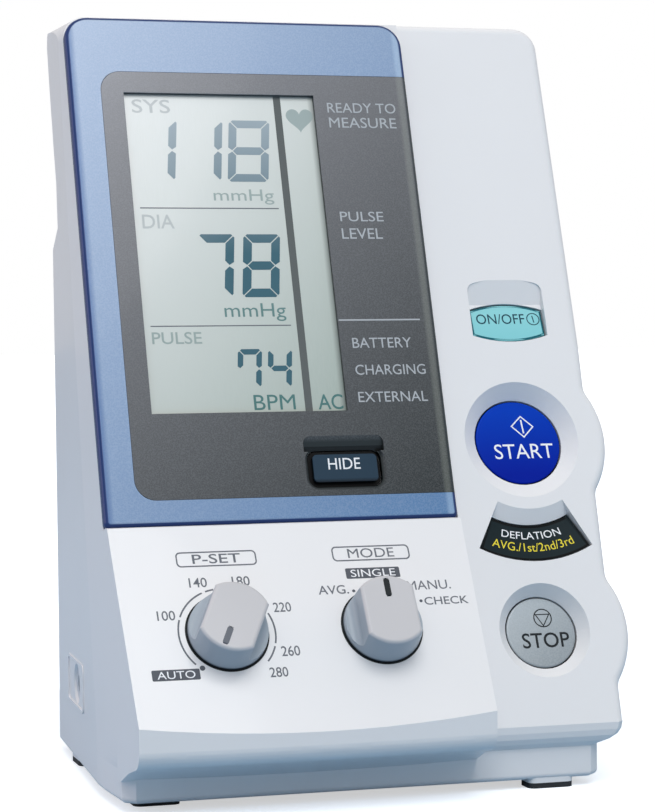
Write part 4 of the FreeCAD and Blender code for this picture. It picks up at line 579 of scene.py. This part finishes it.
def barrel(half_width, half_height, bulge, inset, steps=32, side_steps=12):
    """Outline with straight sides whose upper and lower edges bow outwards."""
    w, h = half_width - inset, half_height - inset
    radius = (w * w + bulge * bulge) / (2 * bulge)
    upper = []
    for i in range(steps + 1):
        x = w - 2 * w * i / steps
        upper.append((x, h + bulge - radius + math.sqrt(radius * radius - x * x)))
    side = [(-w, h - 2 * h * i / side_steps) for i in range(1, side_steps)]
    return upper + side + [(-x, -y) for x, y in upper + side]


def inside(x0, y0, x1, y1, left, low, right, high):
    """Box inside another, by a margin on each side."""
    return x0 + left, y0 + low, x1 - right, y1 - high


def stroke(start, end, width):
    """Straight line of constant width."""
    (ax, ay), (bx, by) = start, end
    length = math.hypot(bx - ax, by - ay)
    dx, dy = (bx - ax) / length * width / 2, (by - ay) / length * width / 2
    return [(ax - dy, ay + dx), (ax + dy, ay - dx), (bx + dy, by - dx), (bx - dy, by + dx)]


def closed_line(points, width):
    """Closed line of constant width: its outer and its inner outline."""
    made = []
    for side in (width / 2, -width / 2):
        loop = []
        for i, here in enumerate(points):
            before = Vector(here) - Vector(points[i - 1])
            after = Vector(points[(i + 1) % len(points)]) - Vector(here)
            a, b = before.normalized(), after.normalized()
            reach = side / (1 + a.dot(b))
            loop.append((here[0] + (a.y + b.y) * reach, here[1] - (a.x + b.x) * reach))
        made.append(loop)
    return made


# ---- ink on a surface ----
TREES = {}


def surface(node):
    """Search tree over a node's faces."""
    if node not in TREES:
        mesh = NODES[node].data
        corners = [v.co for v in mesh.vertices]
        TREES[node] = BVHTree.FromPolygons(corners, [p.vertices for p in mesh.polygons])
    return TREES[node]


def flat_mesh(curve):
    """Filled outline of a flat curve or text as points and faces that wind anticlockwise."""
    holder = bpy.data.objects.new("flat", curve)
    mesh = bpy.data.meshes.new_from_object(holder)
    points = [(v.co.x, v.co.y) for v in mesh.vertices]
    faces = []
    for polygon in mesh.polygons:
        corners = list(polygon.vertices)
        if polygon.normal.z < 0:
            corners.reverse()
        faces.append(corners)
    bpy.data.objects.remove(holder)
    bpy.data.meshes.remove(mesh)
    bpy.data.curves.remove(curve)
    return points, faces


def outlines(shapes):
    """Closed outlines, filled; one inside another is a hole."""
    curve = bpy.data.curves.new("outline", "CURVE")
    curve.dimensions = "2D"
    curve.fill_mode = "BOTH"
    for points in shapes:
        spline = curve.splines.new("POLY")
        spline.points.add(len(points) - 1)
        for slot, (x, y) in zip(spline.points, points):
            slot.co = (x, y, 0, 1)
        spline.use_cyclic_u = True
    return flat_mesh(curve)


def words(text, x0, y0, x1, y1, heavy=0.0):
    """Text fitted to a box, its letters thickened by a share of their size."""
    curve = bpy.data.curves.new("words", "FONT")
    curve.body = text
    curve.resolution_u = 4
    curve.offset = heavy
    points, faces = flat_mesh(curve)
    low = [min(p[k] for p in points) for k in (0, 1)]
    high = [max(p[k] for p in points) for k in (0, 1)]
    kx, ky = (x1 - x0) / (high[0] - low[0]), (y1 - y0) / (high[1] - low[1])
    return [(x0 + (x - low[0]) * kx, y0 + (y - low[1]) * ky) for x, y in points], faces


def weight(text):
    """How far a word's letters are thickened; the notches of an M stay as they are."""
    return 0.0 if "m" in text.lower() else 0.006


def turned(flat, cx, cy, degrees):
    """Turns a flat shape clockwise about a point."""
    points, faces = flat
    a = math.radians(degrees)
    out = []
    for x, y in points:
        dx, dy = x - cx, y - cy
        out.append((
            cx + dx * math.cos(a) + dy * math.sin(a),
            cy + dy * math.cos(a) - dx * math.sin(a),
        ))
    return out, faces


def bent(flat, cx, cy, radius):
    """Wraps a flat shape round a centre above it, so that its y = 0 line sags in the middle."""
    points, faces = flat
    out = []
    for x, y in points:
        a = (x - cx) / radius
        r = radius - y
        out.append((cx + r * math.sin(a), cy - r * math.cos(a)))
    return out, faces


def lay(name, flat, face, node, ink, body="case", slot="window_grey", rise=PRINT_RISE):
    """Lays a flat shape on a node as a thin closed layer that follows its surface."""
    points, faces = flat
    outward = (face.to_3x3() @ Vector(OUT)).normalized()
    tops, lows = [], []
    for x, y in points:
        hit = surface(node).ray_cast(face @ Vector((x, y, REACH)), -outward)[0]
        if hit is None:
            hit = face @ Vector((x, y, 0))
        tops.append(hit + outward * rise * MM)
        lows.append(hit - outward * PRINT_SINK * MM)
    count = len(points)
    solid = [list(f) for f in faces] + [[i + count for i in reversed(f)] for f in faces]
    edges = set()
    for f in faces:
        for a, b in zip(f, f[1:] + f[:1]):
            edges.add((a, b))
    for a, b in sorted(edges):
        if (b, a) not in edges:
            solid.append([b, a, a + count, b + count])
    mesh = bpy.data.meshes.new(name)
    mesh.from_pydata(tops + lows, [], solid)
    mesh.validate()
    mesh.materials.append(INK[ink])
    piece = bpy.data.objects.new(name, mesh)
    bpy.context.scene.collection.objects.link(piece)
    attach(piece, body)


# ---- liquid crystal display ----
SLANT = 0.11


def segments(keys, x0, y0, x1, y1, t, gap=0.2, cut=0.95):
    """Outlines of a slanting digit: a to f clockwise from the top, g in the middle, t wide."""
    middle, h = (y0 + y1) / 2, t / 2
    s = (cut - gap) / 2
    shapes = {
        "a": [
            (x0 + cut, y1), (x1 - cut, y1), (x1 - gap - s, y1 - s), (x1 - t - gap, y1 - t),
            (x0 + t + gap, y1 - t), (x0 + gap + s, y1 - s),
        ],
        "g": [
            (x0 + h + gap, middle), (x0 + t + gap, middle + h), (x1 - t - gap, middle + h),
            (x1 - h - gap, middle), (x1 - t - gap, middle - h), (x0 + t + gap, middle - h),
        ],
        "b": [
            (x1, y1 - cut), (x1 - s, y1 - gap - s), (x1 - t, y1 - t - gap),
            (x1 - t, middle + h + gap), (x1 - h, middle + gap), (x1, middle + h * 0.7 + gap),
        ],
    }

    def upturned(shape):
        return [(x, y0 + y1 - y) for x, y in shape]

    def mirrored(shape):
        return [(x0 + x1 - x, y) for x, y in shape]

    shapes["d"] = upturned(shapes["a"])
    shapes["c"] = upturned(shapes["b"])
    shapes["f"] = mirrored(shapes["b"])
    shapes["e"] = upturned(shapes["f"])
    return [[(x + SLANT * (y - y0), y) for x, y in shapes[key]] for key in keys]


# name, lit segments, left, low, right, high, stroke
DIGITS = (
    ("sys_1", "bc", 15.5, 94.5, 26.8, 112.2, 2.15),
    ("sys_2", "bc", 28.1, 94.5, 39.4, 112.2, 2.15),
    ("sys_3", "abcdefg", 41.15, 94.5, 52.45, 112.2, 2.2),
    ("dia_1", "abc", 29.5, 61.8, 39.6, 79.5, 2.4),
    ("dia_2", "abcdefg", 42.05, 61.8, 52.15, 79.5, 2.4),
    ("pulse_1", "abcf", 38.2, 36.6, 44.75, 47.4, 1.5),
    ("pulse_2", "bcfg", 46.4, 36.6, 52.95, 47.4, 1.5),
)

# name, text, left, low, right, high, ink
LCD_WORDS = (
    ("lcd_sys", "SYS", 16.8, 114.0, 27.2, 117.9, "faint"),
    ("lcd_dia", "DIA", 16.9, 81.1, 25.5, 85.0, "faint"),
    ("lcd_pulse", "PULSE", 16.7, 49.0, 30.0, 52.3, "pale"),
    ("lcd_mmhg_high", "mmHg", 36.9, 88.0, 53.5, 92.3, "pale"),
    ("lcd_mmhg_low", "mmHg", 36.8, 55.1, 53.5, 60.1, "middling"),
    ("lcd_bpm", "BPM", 42.3, 30.7, 53.5, 34.8, "middling"),
    ("lcd_ac", "AC", 59.7, 30.5, 66.5, 34.7, "middling"),
)
LCD_LINES = (
    ("lcd_line_high", 16.6, 86.72, 54.5, 87.0, "grey"),
    ("lcd_line_low", 16.6, 53.77, 54.5, 54.05, "grey"),
    ("lcd_bar", 56.05, 29.9, 58.05, 119.3, "bar"),
)
LCD_HEART = (63.0, 112.9, 7.6)      # centre and width


def heart(cx, cy, width, steps=40):
    """Plain heart outline."""
    points = []
    for i in range(steps):
        a = 2 * math.pi * i / steps
        x = 16 * math.sin(a) ** 3
        y = 13 * math.cos(a) - 5 * math.cos(2 * a) - 2 * math.cos(3 * a) - math.cos(4 * a)
        points.append((cx + x * width / 32, cy + y * width / 32))
    return points


def liquid_crystal():
    """Lit segments, words, lines and the heart of the display."""
    for name, keys, *spot in DIGITS:
        shape = outlines(segments(keys, *spot))
        lay("lcd_digit_" + name, shape, DISPLAY, "lcd_glass", "digit", slot="key_slate")
    for name, text, *spot, ink in LCD_WORDS:
        lay(name, words(text, *spot, weight(text)), DISPLAY, "lcd_glass", ink, slot="key_slate")
    for name, x0, y0, x1, y1, ink in LCD_LINES:
        lay(name, outlines([rectangle(x0, y0, x1, y1)]), DISPLAY, "lcd_glass", ink)
    lay("lcd_heart", outlines([heart(*LCD_HEART)]), DISPLAY, "lcd_glass", "pale", slot="key_slate")


# ---- legends of the panel ----
PANEL_WORDS = (
    ("READY TO", 70.8, 114.4, 90.3, 117.3), ("MEASURE", 70.9, 110.0, 90.0, 113.0),
    ("PULSE", 71.0, 82.8, 83.2, 85.6), ("LEVEL", 71.0, 77.8, 82.4, 80.8),
    ("BATTERY", 70.5, 47.0, 86.9, 49.8), ("CHARGING", 70.5, 39.5, 90.0, 42.3),
    ("EXTERNAL", 70.5, 32.0, 89.7, 34.8),
)
PANEL_LINE = (67.4, 54.6, 90.1, 55.0)
HIDE_WORD = (60.35, 13.95, 69.1, 16.95)


def plain_name(text):
    """A word as part of a piece's name."""
    return "".join(c if c.isalnum() else "_" for c in text.lower()).strip("_")


def panel_legends():
    """Words and the line beside the display, and HIDE on its key."""
    for text, *spot in PANEL_WORDS:
        lay("legend_" + plain_name(text), words(text, *spot), DISPLAY, "display_window", "silver",
            slot="housing_white")
    line = outlines([rectangle(*PANEL_LINE)])
    lay("legend_line", line, DISPLAY, "display_window", "silver", slot="housing_white")
    hide = words("HIDE", *HIDE_WORD, 0.001)
    lay("legend_hide", hide, DISPLAY, "hide_key", "white", "hide_button", "housing_white")


# ---- legends of the control module ----
KNOB_Y = -30.5
KNOB_RADIUS = 10.2
# painted shadow: a black ring on the module round each knob's foot, standing in for the shade of
# the gap
SHADOW_RING_OUTSIDE, SHADOW_RING_INSIDE = 0.5, 1.4      # dark ring at the knob's foot, from the knob's radius
PSET_X = 26.5
MODE_X = 66.8
MARK_HALF_WIDTH, MARK_ROUND = 0.78, 0.74
MARK_FROM, MARK_TO = 3.4, 8.6           # from the knob's middle
PSET_ANGLE, MODE_ANGLE = 206.0, 0.0     # of the marks, clockwise from straight up
SCALE_R = 12.35
SCALE_LINE = 0.44
SCALE_ARCS = ((-132, -70.5), (-66.5, -23), (-18.5, -8), (66, 106), (110, 132))
CONTROL_WORDS = (
    ("100", 9.4, -26.4, 14.0, -23.7), ("140", 18.8, -17.5, 23.4, -14.8),
    ("180", 29.9, -17.5, 34.5, -14.8), ("220", 39.4, -25.3, 44.0, -22.6),
    ("260", 39.5, -37.6, 44.3, -34.8), ("280", 35.6, -43.2, 40.3, -40.5),
    ("AVG.", 51.9, -20.9, 59.9, -18.4), ("MANU.", 75.6, -20.6, 87.3, -18.0),
    ("CHECK", 79.4, -25.0, 91.2, -22.8),
)
BOX_LINE = 0.36
BOX_MARGIN = (4.2, 0.85, 4.2, 0.75)     # left, low, right and high
PLATE_MARGIN = (1.3, 0.45, 1.2, 0.45)
BOXED_WORDS = (("P-SET", 16.4, -11.7, 37.3, -7.4), ("MODE", 57.3, -11.6, 78.1, -7.3))
FILLED_WORDS = (("AUTO", 5.9, -42.8, 18.0, -39.85), ("SINGLE", 60.0, -16.7, 74.4, -13.7))
CONTROL_DOTS = ((18.8, -39.8, 0.7), (61.2, -20.2, 0.42), (78.5, -23.8, 0.42))    # and radius


def control_legends():
    """Scales and words round the two knobs."""
    place = (CONTROL, "front_housing")
    for text, *spot in CONTROL_WORDS:
        lay("dial_" + plain_name(text), words(text, *spot, weight(text)), *place, "grey")
    for text, *spot in BOXED_WORDS:
        ring = [rectangle(*spot, 1.2), rectangle(*inside(*spot, *[BOX_LINE] * 4), 0.9)]
        lay("box_" + plain_name(text), outlines(ring), *place, "grey")
        title = words(text, *inside(*spot, *BOX_MARGIN), weight(text))
        lay("title_" + plain_name(text), title, *place, "grey")
    for text, *spot in FILLED_WORDS:
        plate = outlines([rectangle(*spot, 0.35)])
        lay("plate_" + plain_name(text), plate, *place, "dark")
        word = words(text, *inside(*spot, *PLATE_MARGIN))
        lay("word_" + plain_name(text), word, *place, "white", slot="housing_white",
            rise=2 * PRINT_RISE)
    # painted shadow ring round each knob's foot, where the gap is in shade
    for name, x in (("pset", PSET_X), ("mode", MODE_X)):
        radii = (KNOB_RADIUS + SHADOW_RING_OUTSIDE, KNOB_RADIUS - SHADOW_RING_INSIDE)
        gap = [circle(x, KNOB_Y, radius, 72) for radius in radii]
        lay("painted_shadow_ring_" + name, outlines(gap), *place, "black")
    for i, (start, end) in enumerate(SCALE_ARCS):
        arc = band(PSET_X, KNOB_Y, SCALE_R, SCALE_LINE, start, end)
        lay(f"scale_arc_{i + 1}", outlines([arc]), *place, "grey")
    for i, (x, y, radius) in enumerate(CONTROL_DOTS):
        lay(f"dial_dot_{i + 1}", outlines([circle(x, y, radius, 20)]), *place, "dark")


def knob_marks():
    """Paint in the slot of each knob, which turns with it."""
    for name, x, angle, ink in (
        ("pset", PSET_X, PSET_ANGLE, "grey"), ("mode", MODE_X, MODE_ANGLE, "black"),
    ):
        left, right = x - MARK_HALF_WIDTH, x + MARK_HALF_WIDTH
        bar = outlines([rectangle(left, KNOB_Y + MARK_FROM, right, KNOB_Y + MARK_TO, MARK_ROUND)])
        mark = turned(bar, x, KNOB_Y, angle)
        lay(name + "_mark", mark, CONTROL, name + "_knob", ink, name + "_dial")


# ---- legends of the keys ----
DEFLATION_KEY = (28.4, 9.2, 153.2, 206.8)   # arc round START: radius, width and ends in degrees
LEGEND_ARCS = (115.0, 26.0)                 # centre of the key's two curved lines


def key_legends():
    """Signs and words on the keys: from the middle of a key, for DEFLATION on the strip."""
    place = (START, "start_key", "white", "start_button", "housing_white")
    diamond = [(1.9, 7.5), (5.0, 4.5), (2.0, 1.55), (-1.1, 4.7)]
    lay("start_diamond", outlines(closed_line(diamond, 0.34)), *place)
    lay("start_bar", outlines([stroke((1.84, 6.5), (2.05, 2.6), 0.42)]), *place)
    lay("start_word", words("START", -7.1, -4.7, 9.7, -0.45), *place)

    place = (STOP, "stop_key", "black", "stop_button", "key_charcoal")
    lay("stop_ring", outlines(closed_line(circle(1.09, 3.99, 2.42), 0.3)), *place)
    triangle = [(-0.8, 4.98), (3.0, 4.98), (1.0, 1.85)]
    lay("stop_triangle", outlines(closed_line(triangle, 0.26)), *place)
    lay("stop_word", words("STOP", -5.6, -4.2, 7.6, -0.05, 0.008), *place)

    rim = closed_line(barrel(10.4, 3.7, 1.8, 0.32), 0.44)
    lay("on_off_rim", outlines(rim), ON_OFF, "on_off_key", "teal", "on_off_button", "key_charcoal",
        rise=2 * PRINT_RISE)
    place = (ON_OFF, "on_off_key", "deep", "on_off_button", "key_charcoal")
    lay("on_off_word", words("ON/OFF", -8.6, -0.25, 5.3, 2.75), *place)
    lay("on_off_ring", outlines(closed_line(circle(7.8, 1.16, 1.75, 36), 0.26)), *place)
    lay("on_off_bar", outlines([stroke((7.65, 2.2), (7.9, 0.1), 0.3)]), *place)

    place = (STRIP, "deflation_key")
    rim = closed_line(band(*START_AT, *DEFLATION_KEY), 0.5)
    lay("deflation_rim", outlines(rim), *place, "edge", "deflation_button", "key_charcoal")
    word = bent(words("DEFLATION", 106.4, 0, 123.6, 2.1), *LEGEND_ARCS, 32.4)
    lay("deflation_word", word, *place, "white", "deflation_button", "housing_white")
    modes = bent(words("AVG./1st/2nd/3rd", 103.2, -0.3, 126.8, 2.1), *LEGEND_ARCS, 35.6)
    lay("deflation_modes", modes, *place, "yellow", "deflation_button", "housing_white")


# ---- studio: metres ----
AMBIENT_LEVEL = 0.3           # from the horizon
AMBIENT_ABOVE = 0.63          # from overhead
AMBIENT_STEEP = 0.9           # sine of the elevation from which it is as strong as overhead
AMBIENT_TINT = (0.955, 0.972, 0.99, 1.0)
GLOSS_SHARE = 0.4             # how much of the white surroundings shows in gloss


def studio():
    """White behind the object and dimmer in its gloss; soft light, strongest from above."""
    world = bpy.data.worlds.new("studio")
    bpy.context.scene.world = world
    world.use_nodes = True
    tree = world.node_tree
    tree.nodes.clear()
    rays = tree.nodes.new("ShaderNodeLightPath")
    seen = rays.outputs["Is Camera Ray"]
    for also, share in (("Is Glossy Ray", GLOSS_SHARE), ("Is Transmission Ray", 1.0)):
        more = tree.nodes.new("ShaderNodeMath")
        more.operation = "MULTIPLY_ADD"
        tree.links.new(rays.outputs[also], more.inputs[0])
        more.inputs[1].default_value = share
        tree.links.new(seen, more.inputs[2])
        seen = more.outputs[0]
    way = tree.nodes.new("ShaderNodeTexCoord")
    parts = tree.nodes.new("ShaderNodeSeparateXYZ")
    tree.links.new(way.outputs["Generated"], parts.inputs[0])
    level = tree.nodes.new("ShaderNodeMapRange")
    level.interpolation_type = "SMOOTHSTEP"
    tree.links.new(parts.outputs["Z"], level.inputs["Value"])
    level.inputs["From Min"].default_value = 0.0
    level.inputs["From Max"].default_value = AMBIENT_STEEP
    level.inputs["To Min"].default_value = AMBIENT_LEVEL
    level.inputs["To Max"].default_value = AMBIENT_ABOVE
    soft = tree.nodes.new("ShaderNodeBackground")
    soft.inputs["Color"].default_value = AMBIENT_TINT
    tree.links.new(level.outputs["Result"], soft.inputs["Strength"])
    white = tree.nodes.new("ShaderNodeBackground")
    white.inputs["Color"].default_value = (1.0, 1.0, 1.0, 1.0)
    white.inputs["Strength"].default_value = 1.0
    choose = tree.nodes.new("ShaderNodeMixShader")
    tree.links.new(seen, choose.inputs[0])
    tree.links.new(soft.outputs[0], choose.inputs[1])
    tree.links.new(white.outputs[0], choose.inputs[2])
    out = tree.nodes.new("ShaderNodeOutputWorld")
    tree.links.new(choose.outputs[0], out.inputs["Surface"])


# name, place, width, power in watts, colour
LAMPS = (
    ("key_light", (-0.12, -1.0, 1.35), 1.1, 14.2, (1.0, 0.99, 0.98)),
    ("fill_light", (0.9, -1.1, 0.55), 1.0, 1.0, (1.0, 1.0, 1.0)),
    ("left_light", (-1.3, 0.2, 0.5), 0.9, 4.6, (1.0, 0.84, 0.87)),
)
LAMP_AIM = Vector((0.0, 0.0, 0.10))


def lamps():
    """Round soft lamps that look at the middle of the object."""
    for name, place, size, power, colour in LAMPS:
        light = bpy.data.lights.new(name, "AREA")
        light.shape = "DISK"
        light.size = size
        light.energy = power
        light.color = colour
        holder = bpy.data.objects.new(name, light)
        holder.location = place
        holder.rotation_euler = (LAMP_AIM - Vector(place)).to_track_quat("-Z", "Y").to_euler()
        bpy.context.scene.collection.objects.link(holder)


FLOOR_HALF_WIDTH = 6.0
FLOOR_GLOW_NEAR = 0.56        # beside the object, where its shadow stays
FLOOR_GLOW_FAR = 1.0
FLOOR_GLOW_FROM, FLOOR_GLOW_TO = 0.14, 0.6    # metres from the middle
FLOOR_GLOSS_SHARE = 0.15      # how much of its white shows in gloss


def floor():
    """Pale floor that shows white, keeps the object's shadow and throws back a dim blue."""
    h = FLOOR_HALF_WIDTH
    corners = [(-h, -h, 0), (h, -h, 0), (h, h, 0), (-h, h, 0)]
    mesh = bpy.data.meshes.new("floor")
    mesh.from_pydata(corners, [], [(0, 1, 2, 3)])
    piece = bpy.data.objects.new("floor", mesh)
    bpy.context.scene.collection.objects.link(piece)
    finish = Finish("floor_white", 0.9, gleam=0.1)
    rays = finish.node("ShaderNodeLightPath")
    gloss = finish.partly(rays.outputs["Is Glossy Ray"], FLOOR_GLOSS_SHARE)
    through = rays.outputs["Is Transmission Ray"]
    seen = finish.larger(finish.larger(rays.outputs["Is Camera Ray"], gloss), through)
    finish.colour(finish.mix(seen, linear(134, 168, 194), linear(222, 230, 238)))
    away = finish.node("ShaderNodeVectorMath", operation="LENGTH")
    finish.link(finish.place, away.inputs[0])
    reach = (FLOOR_GLOW_FROM, FLOOR_GLOW_TO, FLOOR_GLOW_NEAR, FLOOR_GLOW_FAR)
    glow = finish.span(away.outputs["Value"], *reach)
    finish.shader.inputs["Emission Color"].default_value = (1.0, 1.0, 1.0, 1.0)
    finish.link(finish.both(seen, glow), finish.shader.inputs["Emission Strength"])
    mesh.materials.append(finish.material)


def camera():
    """Camera of the picture, with its shift at zero."""
    yaw, down, roll = (math.radians(a) for a in (CAMERA_YAW, CAMERA_DOWN, CAMERA_ROLL))
    ahead = Vector((
        math.sin(yaw) * math.cos(down), math.cos(yaw) * math.cos(down), -math.sin(down),
    ))
    level = Vector((math.cos(yaw), -math.sin(yaw), 0))
    upward = level.cross(ahead)
    right = math.cos(roll) * level + math.sin(roll) * upward
    up = math.cos(roll) * upward - math.sin(roll) * level
    x, y, z = CAMERA_FROM
    lens = bpy.data.cameras.new("camera")
    lens.sensor_width = SENSOR
    lens.lens = FOCAL_PIXELS * SENSOR / PICTURE_HEIGHT
    lens.clip_start = 0.01
    holder = bpy.data.objects.new("camera", lens)
    turn = Matrix((right, up, -ahead)).transposed().to_4x4()
    holder.matrix_world = Matrix.Translation(Vector((CASE_LEFT + x, PANEL_Y + y, z)) * MM) @ turn
    bpy.context.scene.collection.objects.link(holder)
    bpy.context.scene.camera = holder


dress()
liquid_crystal()
panel_legends()
control_legends()
knob_marks()
key_legends()
studio()
lamps()
floor()
camera()
bpy.context.scene.view_settings.view_transform = "Standard"
